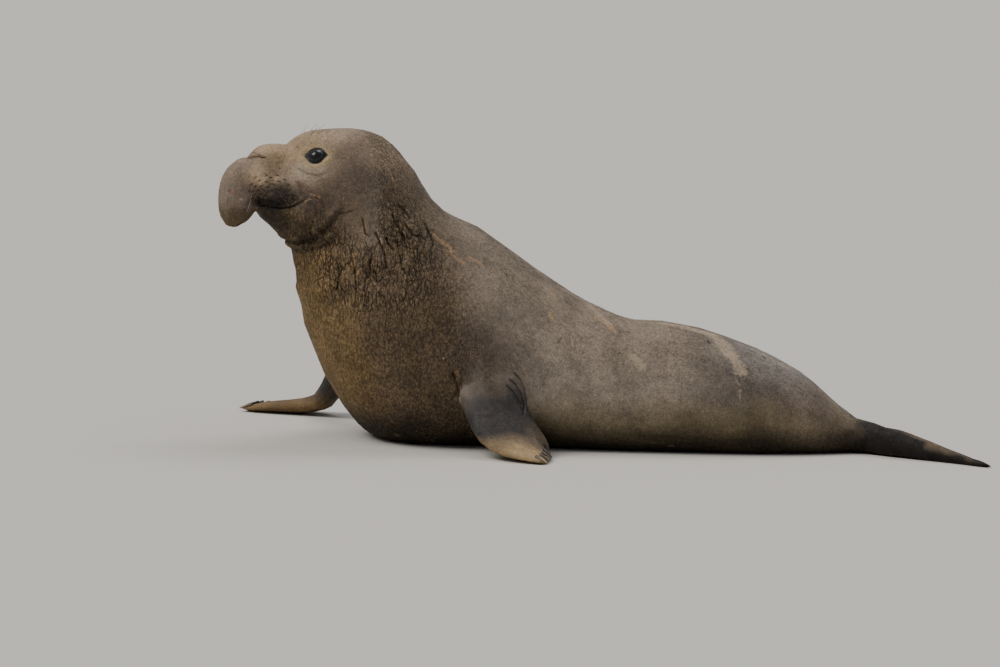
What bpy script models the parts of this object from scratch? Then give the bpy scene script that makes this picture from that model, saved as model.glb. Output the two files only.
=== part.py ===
"""A northern elephant seal bull that rears up on a level floor, as a still, life-size model.

Metres, +Z up. The seal faces -X and its left side is -Y. The origin is on the floor, in the
middle of the flat of its belly. The front of the body is shaped straight, in the plane y = 0,
and is then swayed to the left as a whole, so that both sides of the head come from one form.
"""

from collections import namedtuple
from math import atan, cos, exp, pi, radians, sin, sqrt, tan

import bmesh
import bpy
from mathutils import Matrix, Vector
from mathutils.bvhtree import BVHTree

# Gap between neighbours that touch, and the floor that the seal lies on
GAP = 0.0003
FLOOR = 0.0

# Points that a cut leaves closer together than this become one
SAME_POINT = 0.00005

# How the front of the body sways towards the seal's left
SWAY_START = -0.35
SWAY_END = -1.15
SWAY_ANGLE = radians(14)

# How the end of the rump bends the same way, from this place on
RUMP_SWAY_START = 0.900
RUMP_SWAY = 3.4

# How many points go round each kind of ring
BODY_SIDES = 40
NOSE_SIDES = 24
FLIPPER_SIDES = 40

# A slice through the body: its highest and lowest points, half its width, how far up the
# widest line is, and how square the part above and the part below that line are
Slice = namedtuple("Slice", "top_x top_z low_x low_z half_width belt round_top round_low")

BODY = [
    Slice(1.100, 0.112, 1.098, 0.006, 0.052, 0.50, 2.0, 2.0),
    Slice(1.040, 0.138, 1.034, -0.006, 0.094, 0.47, 2.0, 2.1),
    Slice(0.960, 0.172, 0.948, -0.016, 0.154, 0.44, 2.0, 2.3),
    Slice(0.860, 0.254, 0.842, -0.030, 0.224, 0.42, 2.0, 2.4),
    Slice(0.736, 0.360, 0.720, -0.040, 0.285, 0.40, 2.0, 2.5),
    Slice(0.540, 0.455, 0.520, -0.050, 0.350, 0.40, 2.0, 2.6),
    Slice(0.304, 0.532, 0.290, -0.050, 0.395, 0.40, 2.0, 2.6),
    Slice(0.110, 0.569, 0.090, -0.050, 0.420, 0.40, 2.0, 2.6),
    Slice(-0.080, 0.582, -0.120, -0.050, 0.440, 0.40, 2.0, 2.6),
    Slice(-0.280, 0.662, -0.360, -0.050, 0.465, 0.40, 2.0, 2.6),
    Slice(-0.460, 0.768, -0.620, -0.050, 0.485, 0.41, 2.0, 2.6),
    Slice(-0.630, 0.883, -0.890, -0.050, 0.500, 0.42, 2.0, 2.5),
    Slice(-0.772, 0.980, -1.120, -0.040, 0.500, 0.43, 2.0, 2.4),
    Slice(-0.868, 1.022, -1.290, 0.045, 0.490, 0.44, 2.0, 2.3),
    Slice(-0.938, 1.060, -1.426, 0.230, 0.470, 0.45, 2.0, 2.2),
    Slice(-0.983, 1.097, -1.530, 0.450, 0.435, 0.46, 2.0, 2.1),
    Slice(-1.021, 1.143, -1.586, 0.625, 0.400, 0.47, 2.0, 2.0),
    Slice(-1.052, 1.191, -1.607, 0.755, 0.368, 0.48, 2.0, 2.0),
    Slice(-1.093, 1.255, -1.628, 0.848, 0.345, 0.48, 2.0, 2.0),
    Slice(-1.152, 1.328, -1.642, 0.876, 0.330, 0.47, 2.0, 2.0),
    Slice(-1.230, 1.395, -1.656, 0.893, 0.315, 0.46, 2.0, 2.0),
    Slice(-1.322, 1.428, -1.672, 0.912, 0.300, 0.46, 2.1, 2.0),
    Slice(-1.430, 1.431, -1.690, 0.933, 0.282, 0.45, 2.2, 2.0),
    Slice(-1.530, 1.422, -1.711, 0.955, 0.250, 0.44, 2.2, 2.0),
    Slice(-1.605, 1.397, -1.733, 0.977, 0.214, 0.43, 2.3, 2.0),
    Slice(-1.660, 1.352, -1.755, 0.996, 0.182, 0.42, 2.5, 2.0),
    Slice(-1.702, 1.305, -1.775, 1.014, 0.157, 0.42, 2.6, 2.0),
    Slice(-1.745, 1.240, -1.792, 1.038, 0.128, 0.42, 2.6, 2.1),
    Slice(-1.780, 1.170, -1.803, 1.070, 0.086, 0.42, 2.2, 2.2),
]

# Which slices each length of the body runs between, and how many rings go from one slice
# to the next
LENGTHS = {
    "hind_body": (0, 5, 2),
    "torso": (5, 9, 3),
    "chest": (9, 15, 3),
    "neck": (15, 18, 4),
}
HEAD_FIRST_SLICE = 18
HEAD_RINGS_PER_SLICE = 2

# Gentle swellings and hollows of the skin: the middle, three radii and how far it rises,
# on the left side for -1, on the right side for 1 and on both for 0
Swell = namedtuple("Swell", "x y z length width height rise side")
SWELLS = {
    "whisker pads": Swell(-1.738, 0.125, 1.140, 0.062, 0.060, 0.048, 0.016, 0),
    "hollows before the eyes": Swell(-1.640, 0.165, 1.240, 0.050, 0.060, 0.045, -0.010, 0),
    "brows": Swell(-1.545, 0.190, 1.378, 0.060, 0.070, 0.034, 0.008, 0),
    "jowls": Swell(-1.600, 0.220, 1.010, 0.090, 0.100, 0.055, 0.012, 0),
    "left shoulder": Swell(-0.770, 0.480, 0.420, 0.220, 0.160, 0.170, 0.040, -1),
    "right shoulder": Swell(-1.090, 0.480, 0.480, 0.200, 0.160, 0.180, 0.040, 1),
}

# The exact solver leaves open edges round the eye sockets
HEAD_SOLVER = "MANIFOLD"

# The trunk, from inside the muzzle, over its crease, down to the tip
TRUNK = [
    Slice(-1.575, 1.320, -1.635, 1.115, 0.100, 0.45, 2.0, 2.0),
    Slice(-1.622, 1.342, -1.685, 1.095, 0.132, 0.45, 2.0, 2.0),
    Slice(-1.668, 1.354, -1.728, 1.080, 0.139, 0.45, 2.1, 2.0),
    Slice(-1.717, 1.358, -1.762, 1.074, 0.139, 0.45, 2.2, 2.0),
    Slice(-1.765, 1.354, -1.785, 1.074, 0.131, 0.46, 2.2, 2.0),
    Slice(-1.803, 1.335, -1.793, 1.076, 0.119, 0.48, 2.2, 2.0),
    Slice(-1.834, 1.298, -1.796, 1.073, 0.108, 0.50, 2.1, 2.0),
    Slice(-1.873, 1.288, -1.798, 1.067, 0.105, 0.52, 2.2, 2.1),
    Slice(-1.912, 1.260, -1.800, 1.060, 0.106, 0.54, 2.3, 2.2),
    Slice(-1.948, 1.208, -1.802, 1.052, 0.106, 0.54, 2.3, 2.3),
    Slice(-1.965, 1.140, -1.806, 1.040, 0.104, 0.54, 2.3, 2.3),
    Slice(-1.967, 1.075, -1.816, 1.022, 0.098, 0.52, 2.2, 2.2),
    Slice(-1.957, 1.022, -1.834, 1.000, 0.086, 0.50, 2.1, 2.1),
    Slice(-1.939, 0.988, -1.862, 0.982, 0.064, 0.50, 2.0, 2.0),
    Slice(-1.922, 0.972, -1.882, 0.970, 0.036, 0.50, 2.0, 2.0),
]
TRUNK_RINGS_PER_SLICE = 2

# Where the trunk leaves the muzzle, as a line across the head seen from the side
TRUNK_CUT = [(-1.620, 1.500), (-1.672, 1.362), (-1.803, 1.048), (-1.820, 0.890)]
TRUNK_FRONT = [(-2.200, 0.850), (-2.200, 1.500)]

# The line of the lips from the front to the corner of the mouth, then the rest of the
# lower jaw's edge, down its back and along the fold under the chin
LIPS = [(-1.850, 1.078), (-1.780, 1.077), (-1.745, 1.073), (-1.712, 1.073), (-1.680, 1.080),
        (-1.655, 1.093), (-1.630, 1.107), (-1.604, 1.119)]
JAW_BACK = [(-1.560, 1.075), (-1.540, 1.010), (-1.570, 0.948), (-1.628, 0.915), (-1.664, 0.913)]
JAW_UNDER = [(-1.710, 0.890), (-1.760, 0.840), (-2.000, 0.840), (-2.000, 1.078)]
LIP_GROOVE_RADIUS = 0.006
GROOVE_SIDES = 6
CUT_HALF_WIDTH = 0.5

# Where the fold under the chin starts on each side, and its way to the middle of the throat
CHIN_FOLD = [(-1.478, 0.300, 1.068), (-1.518, 0.290, 1.005), (-1.567, 0.242, 0.946),
             (-1.628, 0.131, 0.914), (-1.662, 0.060, 0.913), (-1.674, 0.000, 0.913)]
CHIN_FOLD_RADIUS = 0.017
CHIN_FOLD_THIN_RADIUS = 0.008
CHIN_FOLD_LIFT = 0.45
CHIN_FOLD_STEPS = 3
CHIN_FOLD_SIDES = 8

# Eyes, their lids, the ear holes and the nostrils
EYE_AT = (-1.569, 1.320)
EYE_RADIUS = 0.045
EYE_DEPTH = 0.0335
LID_RADII = (0.064, 0.051, 0.014)
LID_DEPTH = 0.005
LID_TILT = 0.06
SLIT_RADII = (0.037, 0.031, 0.045)
SLIT_LIFT = 0.020
EYE_STEPS = 16
LID_STEPS = 16
EAR_AT = (-1.448, 1.204)
EAR_RADII = (0.008, 0.016, 0.008)
EAR_STEPS = 8
NOSTRIL_AT = (-1.872, 0.040, 0.992)
NOSTRIL_RADII = (0.014, 0.024, 0.028)
NOSTRIL_TURN = radians(-32)
NOSTRIL_STEPS = 12

# Folds that run round the throat: the slice each is at on the underside and on the sides,
# how many slices wide it is, its depth, and how far up the sides it goes
Fold = namedtuple("Fold", "slice_low slice_side half_width depth reach")
FOLDS = [
    Fold(18.1, 17.6, 0.40, 0.012, radians(120)),
    Fold(17.1, 16.7, 0.35, 0.010, radians(125)),
    Fold(16.0, 15.6, 0.35, 0.008, radians(130)),
]
FOLD_SIDE = radians(60)
FOLD_LIP = 0.4
FOLD_LIP_AWAY = 1.8

# A slice through a flipper: its middle, the vector to its leading edge and the vector
# to its upper face
Blade = namedtuple("Blade", "middle lead face")

LEFT_ARM = [
    Blade((-0.725, -0.250, 0.520), (-0.200, 0.000, 0.000), (0.000, -0.080, 0.060)),
    Blade((-0.708, -0.370, 0.420), (-0.178, 0.000, 0.000), (0.000, -0.074, 0.056)),
    Blade((-0.688, -0.470, 0.312), (-0.160, -0.004, 0.000), (0.000, -0.066, 0.048)),
    Blade((-0.664, -0.562, 0.205), (-0.150, -0.012, 0.004), (0.000, -0.054, 0.040)),
    Blade((-0.616, -0.634, 0.128), (-0.158, -0.034, 0.006), (0.004, -0.042, 0.036)),
    Blade((-0.572, -0.690, 0.076), (-0.152, -0.066, 0.003), (-0.004, -0.022, 0.042)),
    Blade((-0.526, -0.740, 0.045), (-0.122, -0.096, 0.000), (0.000, 0.000, 0.038)),
    Blade((-0.482, -0.772, 0.030), (-0.086, -0.118, 0.000), (0.000, 0.000, 0.028)),
    Blade((-0.442, -0.794, 0.020), (-0.056, -0.128, 0.000), (0.000, 0.000, 0.019)),
    Blade((-0.412, -0.808, 0.012), (-0.037, -0.124, 0.000), (0.000, 0.000, 0.012)),
]
RIGHT_ARM = [
    Blade((-1.020, 0.260, 0.520), (-0.086, -0.130, -0.035), (-0.045, 0.008, 0.082)),
    Blade((-1.180, 0.400, 0.435), (-0.080, -0.120, -0.033), (-0.042, 0.008, 0.076)),
    Blade((-1.315, 0.520, 0.345), (-0.070, -0.108, -0.030), (-0.042, 0.010, 0.062)),
    Blade((-1.415, 0.608, 0.240), (-0.052, -0.106, -0.026), (-0.050, 0.012, 0.042)),
    Blade((-1.470, 0.658, 0.140), (-0.038, -0.102, -0.022), (-0.048, 0.014, 0.024)),
    Blade((-1.520, 0.692, 0.070), (-0.034, -0.102, -0.008), (-0.028, 0.005, 0.038)),
    Blade((-1.612, 0.724, 0.040), (-0.031, -0.106, 0.000), (0.000, 0.000, 0.037)),
    Blade((-1.716, 0.754, 0.030), (-0.032, -0.112, 0.000), (0.000, 0.000, 0.028)),
    Blade((-1.810, 0.780, 0.021), (-0.030, -0.106, 0.000), (0.000, 0.000, 0.022)),
    Blade((-1.868, 0.797, 0.014), (-0.025, -0.090, 0.000), (0.000, 0.000, 0.014)),
]
ARM_RINGS_PER_BLADE = 1
HAND_RINGS_PER_BLADE = 2
FIRST_HAND_BLADE = 5
FLIPPER_SQUARENESS = 2.3
DIGITS = 5
DIGIT_RIDGE = 0.26
RIDGE_GROWTH = 2
DIGIT_NOTCH = 0.010
TIP_ROUNDING = 0.007
DIGIT_LENGTHS = (0.020, 0.016, 0.008, -0.004, -0.022)

# The hind flippers, folded sole to sole: the line that both follow on the floor, how high
# each is there and how thick
Hind = namedtuple("Hind", "x y height thickness")
HIND_LINE = [
    Hind(0.950, -0.004, 0.112, 0.040),
    Hind(1.030, -0.056, 0.128, 0.062),
    Hind(1.105, -0.116, 0.135, 0.068),
    Hind(1.200, -0.188, 0.128, 0.060),
    Hind(1.325, -0.275, 0.090, 0.045),
    Hind(1.440, -0.355, 0.054, 0.032),
    Hind(1.540, -0.440, 0.032, 0.021),
    Hind(1.610, -0.510, 0.014, 0.011),
]
HIND_SIDES = 24
HIND_RINGS = 12
HIND_RIDGE = 0.20
HIND_SQUARENESS = 2.4
FAR_FLIPPER_SHARE = 0.94
FAR_FLIPPER_HEIGHT = 0.92

# The stub of a tail, above and between the hind flippers
TAIL_LINE = [(0.960, 0.000, 0.120), (1.030, -0.048, 0.122), (1.085, -0.098, 0.124), (1.130, -0.134, 0.124)]
TAIL_HALF_SIZES = [(0.050, 0.034), (0.042, 0.025), (0.030, 0.017), (0.012, 0.008)]
TAIL_SIDES = 16

# Claws of the fore flippers: length and size of the first and of the others, how much of
# each lies along its digit, how far its root sinks in, and how it curves down at its tip
CLAW_SIDES = 8
CLAW_RINGS = 4
FIRST_CLAW = (0.068, 1.30)
OTHER_CLAWS = (0.054, 1.00)
CLAW_HALF_WIDTH = 0.0095
CLAW_HALF_HEIGHT = 0.0065
CLAW_ON_DIGIT = 0.58
CLAW_FROM_TIP = 0.010
CLAW_DROOP = 0.10
CLAW_TAPER = 0.97

# Colour and roughness of each node, by how its name starts
FINISHES = {
    "head": ((0.30, 0.22, 0.15), 0.72),
    "proboscis": ((0.27, 0.21, 0.17), 0.70),
    "lower_jaw": ((0.22, 0.15, 0.10), 0.74),
    "neck": ((0.17, 0.11, 0.07), 0.80),
    "chest": ((0.20, 0.14, 0.08), 0.80),
    "torso": ((0.23, 0.18, 0.14), 0.74),
    "hind_body": ((0.22, 0.17, 0.14), 0.70),
    "tail": ((0.09, 0.07, 0.06), 0.66),
    "fore_flipper": ((0.24, 0.18, 0.13), 0.72),
    "hind_flipper": ((0.07, 0.055, 0.05), 0.66),
    "eye": ((0.012, 0.010, 0.010), 0.08),
    "claw": ((0.34, 0.29, 0.22), 0.45),
}
SHARP_ANGLE = radians(30)


def clear_scene():
    for obj in list(bpy.data.objects):
        bpy.data.objects.remove(obj, do_unlink=True)


def between(rows, place):
    """The row at a place between two rows, on a smooth curve through all of them."""
    first = min(int(place), len(rows) - 2)
    part = place - first
    before = rows[max(first - 1, 0)]
    here = rows[first]
    after = rows[first + 1]
    beyond = rows[min(first + 2, len(rows) - 1)]
    return [
        0.5 * (2 * b + (c - a) * part + (2 * a - 5 * b + 4 * c - d) * part**2
               + (3 * b - a - 3 * c + d) * part**3)
        for a, b, c, d in zip(before, here, after, beyond)
    ]


def places(first, last, rings_per_row):
    steps = (last - first) * rings_per_row
    return [first + (last - first) * step / steps for step in range(steps + 1)]


def rounded(value, squareness):
    """A sine or cosine, pushed outwards as squareness grows past 2."""
    return abs(value) ** (2 / squareness) * (1 if value >= 0 else -1)


def sway(point):
    """Bends a point of the straight body to the seal's left, at the front and at the rump's end."""
    if point.x > RUMP_SWAY_START:
        shift = RUMP_SWAY * (point.x - RUMP_SWAY_START) ** 2
        return Vector((point.x, point.y - shift, point.z))
    run = SWAY_START - SWAY_END
    part = (SWAY_START - point.x) / run
    if part <= 0:
        return point.copy()
    capped = min(part, 1)
    slope = tan(SWAY_ANGLE) * capped**2 * (3 - 2 * capped)
    shift = run * tan(SWAY_ANGLE) * (capped**3 - capped**4 / 2)
    if part > 1:
        shift += (SWAY_END - point.x) * tan(SWAY_ANGLE)
    angle = atan(slope)
    return Vector((point.x - point.y * sin(angle), point.y * cos(angle) - shift, point.z))


def fold_depth(place, angle):
    """How far the folds push the skin in. The angle is 0 on top and pi on the underside."""
    from_low = abs(pi - angle)
    total = 0.0
    for fold in FOLDS:
        if from_low > fold.reach:
            continue
        rise = min(1.0, from_low / FOLD_SIDE)
        centre = fold.slice_low + (fold.slice_side - fold.slice_low) * rise
        away = (place - centre) / fold.half_width
        valley = exp(-(away**2))
        lips = exp(-((away - FOLD_LIP_AWAY) ** 2)) + exp(-((away + FOLD_LIP_AWAY) ** 2))
        fade = cos(from_low / fold.reach * pi / 2)
        total += fold.depth * (valley - FOLD_LIP * lips) * fade
    return total


def swelling(point):
    """How far the swellings push the skin out at a point of the straight body."""
    total = 0.0
    for swell in SWELLS.values():
        if swell.side * point.y < 0:
            continue
        along = (point.x - swell.x) / swell.length
        sideways = (abs(point.y) - swell.y) / swell.width
        upwards = (point.z - swell.z) / swell.height
        total += swell.rise * exp(-(along**2) - sideways**2 - upwards**2)
    return total


def body_ring(rows, place, sides, grow=0.0, plain=False):
    """A closed ring of points round the straight body, the first one on top."""
    cut = Slice(*between(rows, place))
    top = Vector((cut.top_x, 0, cut.top_z))
    low = Vector((cut.low_x, 0, cut.low_z))
    up = (top - low).normalized()
    height = (top - low).length
    middle = low + up * height * cut.belt
    ring = []
    for side in range(sides):
        angle = 2 * pi * side / sides
        upper = cos(angle) >= 0
        squareness = cut.round_top if upper else cut.round_low
        reach = height * (1 - cut.belt) if upper else height * cut.belt
        offset = up * rounded(cos(angle), squareness) * reach
        offset.y = rounded(sin(angle), squareness) * cut.half_width
        point = middle + offset
        push = grow
        if not plain:
            push += swelling(point) - fold_depth(place, angle)
        ring.append(point + offset.normalized() * push)
    return ring


def on_floor(point, floor=FLOOR):
    return Vector((point.x, point.y, max(point.z, floor)))


def ring_middle(ring):
    return sum(ring, Vector()) / len(ring)


def ring_normal(ring):
    middle = ring_middle(ring)
    normal = Vector()
    for here, after in zip(ring, ring[1:] + ring[:1]):
        normal += (here - middle).cross(after - middle)
    return normal.normalized()


def loft(rings):
    """One closed mesh through rings of equal length, with a fan of triangles over each end."""
    shape = bmesh.new()
    rows = [[shape.verts.new(point) for point in ring] for ring in rings]
    sides = len(rings[0])
    for row, following in zip(rows, rows[1:]):
        for side in range(sides):
            after = (side + 1) % sides
            corners = (row[side], row[after], following[after], following[side])
            across = (corners[0].co - corners[2].co).length
            if across > (corners[1].co - corners[3].co).length:
                corners = corners[1:] + corners[:1]
            shape.faces.new((corners[0], corners[1], corners[2]))
            shape.faces.new((corners[0], corners[2], corners[3]))
    for row, ring in ((rows[0], rings[0]), (rows[-1], rings[-1])):
        middle = shape.verts.new(ring_middle(ring))
        for side in range(sides):
            shape.faces.new((row[side], row[(side + 1) % sides], middle))
    return closed_mesh(shape)


def closed_mesh(shape):
    bmesh.ops.recalc_face_normals(shape, faces=shape.faces)
    mesh = bpy.data.meshes.new("shape")
    shape.to_mesh(mesh)
    shape.free()
    return mesh


def add(name, mesh):
    mesh.name = name
    obj = bpy.data.objects.new(name, mesh)
    bpy.context.scene.collection.objects.link(obj)
    return obj


def cutter(mesh):
    obj = add("cutter", mesh)
    obj.hide_render = True
    obj.display_type = "WIRE"
    return obj


def combine(target, others, operation, solver="EXACT"):
    """Joins, cuts or intersects a node with other closed meshes, which are then removed."""
    group = bpy.data.collections.new("group")
    for other in others:
        group.objects.link(other)
    boolean = target.modifiers.new("combine", "BOOLEAN")
    boolean.operand_type = "COLLECTION"
    boolean.collection = group
    boolean.operation = operation
    boolean.solver = solver
    bpy.context.view_layer.update()
    graph = bpy.context.evaluated_depsgraph_get()
    result = bpy.data.meshes.new_from_object(target.evaluated_get(graph))
    target.modifiers.clear()
    target.data = result
    for other in others:
        bpy.data.objects.remove(other, do_unlink=True)
    bpy.data.collections.remove(group)
    keep_largest(target)


def keep_largest(obj):
    """Leaves only the closed surface with the most volume, without its slivers."""
    shape = bmesh.new()
    shape.from_mesh(obj.data)
    bmesh.ops.remove_doubles(shape, verts=shape.verts, dist=SAME_POINT)
    bmesh.ops.dissolve_degenerate(shape, edges=shape.edges, dist=SAME_POINT)
    bmesh.ops.triangulate(shape, faces=shape.faces)
    unseen = set(shape.verts)
    pieces = []
    while unseen:
        piece = set()
        edge = {unseen.pop()}
        while edge:
            piece |= edge
            edge = {link.other_vert(vert) for vert in edge for link in vert.link_edges} - piece
        unseen -= piece
        pieces.append(piece)

    def volume(piece):
        faces = {face for vert in piece for face in vert.link_faces}
        return sum(face.verts[0].co.dot(face.verts[1].co.cross(face.verts[2].co)) for face in faces)

    largest = max(pieces, key=volume)
    scraps = [vert for vert in shape.verts if vert not in largest]
    bmesh.ops.delete(shape, geom=scraps, context="VERTS")
    shape.to_mesh(obj.data)
    shape.free()


def copy_of(obj, name):
    return add(name, obj.data.copy())


def prism(outline, half_width):
    """A closed block whose outline is seen from the side."""
    shape = bmesh.new()
    near = [shape.verts.new((x, -half_width, z)) for x, z in outline]
    far = [shape.verts.new((x, half_width, z)) for x, z in outline]
    shape.faces.new(near)
    shape.faces.new(far)
    for number in range(len(outline)):
        after = (number + 1) % len(outline)
        shape.faces.new((near[number], near[after], far[after], far[number]))
    return closed_mesh(shape)


def widened(outline, amount):
    """The same outline, with each corner moved out by about that amount."""
    area = sum(a[0] * b[1] - b[0] * a[1] for a, b in zip(outline, outline[1:] + outline[:1]))
    turn = 1 if area > 0 else -1
    moved = []
    for number, (x, z) in enumerate(outline):
        before = Vector(outline[number - 1])
        here = Vector((x, z))
        after = Vector(outline[(number + 1) % len(outline)])
        way_in = (here - before).normalized()
        way_out = (after - here).normalized()
        corner = Vector((way_in.y + way_out.y, -way_in.x - way_out.x)) * turn
        stretch = 1 + way_in.dot(way_out)
        moved.append(tuple(here + corner * (amount / stretch)))
    return moved


def ball(middle, radii, turn, steps):
    """A closed ball with its own radius along each axis, turned by a matrix."""
    shape = bmesh.new()
    bmesh.ops.create_uvsphere(shape, u_segments=steps, v_segments=steps // 2, radius=1)
    place = Matrix.Translation(middle) @ turn.to_4x4() @ Matrix.Diagonal((*radii, 1))
    bmesh.ops.transform(shape, matrix=place, verts=shape.verts)
    return closed_mesh(shape)


def tube(path, radii, sides):
    """A closed tube along a path of points, with a radius at each."""
    rings = []
    for number, (point, radius) in enumerate(zip(path, radii)):
        ahead = path[min(number + 1, len(path) - 1)] - path[max(number - 1, 0)]
        across = ahead.cross(Vector((0, 0, 1))).normalized()
        up = across.cross(ahead).normalized()
        angles = [2 * pi * side / sides for side in range(sides)]
        rings.append([point + (across * cos(a) + up * sin(a)) * radius for a in angles])
    return loft(rings)


def surface_tree(obj):
    shape = bmesh.new()
    shape.from_mesh(obj.data)
    tree = BVHTree.FromBMesh(shape)
    shape.free()
    return tree


def on_side(tree, x, z, side):
    """The point of the straight body at x and z on one side, and the way out from it."""
    point, normal, _, _ = tree.ray_cast(Vector((x, side, z)), Vector((0, -side, 0)))
    return point, normal


def make_length(name, first, last, rings_per_slice):
    """One length of the swayed body, between flat seams half a gap from its neighbours."""
    rings = []
    for place in places(first, last, rings_per_slice):
        ring = body_ring(BODY, place, BODY_SIDES)
        rings.append([sway(on_floor(point)) for point in ring])
    if first > 0:
        pull_back(rings[0], rings[1])
    pull_back(rings[-1], rings[-2])
    return add(name, loft(rings))


def pull_back(ring, inner):
    """Moves an end ring half a gap towards the ring inside it."""
    shift = ring_normal(ring)
    if shift.dot(ring_middle(inner) - ring_middle(ring)) < 0:
        shift = -shift
    shift.z = 0
    for point in ring:
        point += shift.normalized() * GAP / 2


def skin_copy():
    """The whole body without the head's features, a gap larger all round."""
    stops = [0.0]
    for first, last, rings_per_slice in LENGTHS.values():
        stops += places(first, last, rings_per_slice)[1:]
    stops += places(HEAD_FIRST_SLICE, len(BODY) - 1, HEAD_RINGS_PER_SLICE)[1:]
    rings = []
    for place in stops:
        ring = body_ring(BODY, place, BODY_SIDES, grow=GAP)
        rings.append([sway(on_floor(point, FLOOR - GAP)) for point in ring])
    rings[0] = [point + Vector((GAP, 0, 0)) for point in rings[0]]
    return cutter(loft(rings))


def eye_frame(tree, side):
    """Where an eye is on the skin, and the axes of its lids: along the slit, across it and out."""
    point, normal = on_side(tree, *EYE_AT, side)
    along = Vector((-1, 0, LID_TILT))
    along = (along - normal * along.dot(normal)).normalized()
    across = normal.cross(along)
    return point, Matrix((along, across, normal)).transposed()


def lip_groove(tree, side):
    """A tube along the line of the lips, from the corner to the front."""
    path = []
    for x, z in reversed(LIPS[1:]):
        point, _ = on_side(tree, x, z, side)
        if point:
            path.append(point)
    return tube(path, [LIP_GROOVE_RADIUS] * len(path), GROOVE_SIDES)


def chin_groove(tree):
    """A tube along the fold under the chin, from side to side, thin at both ends."""
    half = [(x, -y, z) for x, y, z in CHIN_FOLD]
    whole = half + [(x, -y, z) for x, y, z in reversed(half[:-1])]
    stops = places(0, len(whole) - 1, CHIN_FOLD_STEPS)
    path = []
    radii = []
    for stop in stops:
        share = sin(pi * stop / (len(whole) - 1))
        radius = CHIN_FOLD_THIN_RADIUS + (CHIN_FOLD_RADIUS - CHIN_FOLD_THIN_RADIUS) * share
        point, normal, _, _ = tree.find_nearest(Vector(between(whole, stop)))
        path.append(point + normal * radius * (1 - (1 - CHIN_FOLD_LIFT) * share))
        radii.append(radius)
    return tube(path, radii, CHIN_FOLD_SIDES)


def make_head():
    """The head, its trunk and its lower jaw: one form, parted with thin cuts."""
    rings = [
        body_ring(BODY, place, BODY_SIDES)
        for place in places(HEAD_FIRST_SLICE, len(BODY) - 1, HEAD_RINGS_PER_SLICE)
    ]
    pull_back(rings[0], rings[1])
    head = add("head", loft(rings))
    tree = surface_tree(head)

    trunk_rings = [
        body_ring(TRUNK, place, NOSE_SIDES, plain=True)
        for place in places(0, len(TRUNK) - 1, TRUNK_RINGS_PER_SLICE)
    ]
    extras = [add("trunk", loft(trunk_rings))]
    eyes = {side: eye_frame(tree, side) for side in (-1, 1)}
    for point, turn in eyes.values():
        out = turn @ Vector((0, 0, 1))
        extras.append(add("lids", ball(point - out * LID_DEPTH, LID_RADII, turn, LID_STEPS)))
    combine(head, extras, "UNION", HEAD_SOLVER)

    cuts = []
    for side, (point, turn) in eyes.items():
        out = turn @ Vector((0, 0, 1))
        cuts.append(cutter(ball(point + out * SLIT_LIFT, SLIT_RADII, turn, EYE_STEPS)))
        ear, _ = on_side(tree, *EAR_AT, side)
        cuts.append(cutter(ball(ear, EAR_RADII, Matrix.Identity(3), EAR_STEPS)))
        x, y, z = NOSTRIL_AT
        nostril_turn = Matrix.Rotation(NOSTRIL_TURN, 3, "Y")
        cuts.append(cutter(ball((x, y * side, z), NOSTRIL_RADII, nostril_turn, NOSTRIL_STEPS)))
        cuts.append(cutter(lip_groove(tree, side)))
    cuts.append(cutter(chin_groove(tree)))
    combine(head, cuts, "DIFFERENCE", HEAD_SOLVER)

    sockets = []
    for side, (point, turn) in eyes.items():
        middle = point - turn @ Vector((0, 0, EYE_DEPTH))
        sockets.append(cutter(ball(middle, [EYE_RADIUS + GAP] * 3, turn, EYE_STEPS)))
        name = "eye_left" if side < 0 else "eye_right"
        add(name, ball(middle, [EYE_RADIUS] * 3, turn, EYE_STEPS))
    combine(head, sockets, "DIFFERENCE", HEAD_SOLVER)

    trunk = copy_of(head, "proboscis")
    jaw = copy_of(head, "lower_jaw")
    front = TRUNK_CUT + TRUNK_FRONT
    mouth = LIPS + JAW_BACK + JAW_UNDER
    combine(trunk, [cutter(prism(front, CUT_HALF_WIDTH))], "INTERSECT", HEAD_SOLVER)
    combine(jaw, [cutter(prism(mouth, CUT_HALF_WIDTH))], "INTERSECT", HEAD_SOLVER)
    combine(jaw, [cutter(prism(widened(front, GAP), CUT_HALF_WIDTH))], "DIFFERENCE", HEAD_SOLVER)
    combine(head, [cutter(prism(widened(front, GAP), CUT_HALF_WIDTH))], "DIFFERENCE", HEAD_SOLVER)
    combine(head, [cutter(prism(widened(mouth, GAP), CUT_HALF_WIDTH))], "DIFFERENCE", HEAD_SOLVER)
    for name in ("head", "proboscis", "lower_jaw", "eye_left", "eye_right"):
        for vert in bpy.data.objects[name].data.vertices:
            vert.co = sway(vert.co)


def digit_wave(across):
    """1 on each digit and 0 between two of them, for a place across the flipper from -1 to 1."""
    return 0.5 + 0.5 * cos(pi * DIGITS * across)


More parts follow.
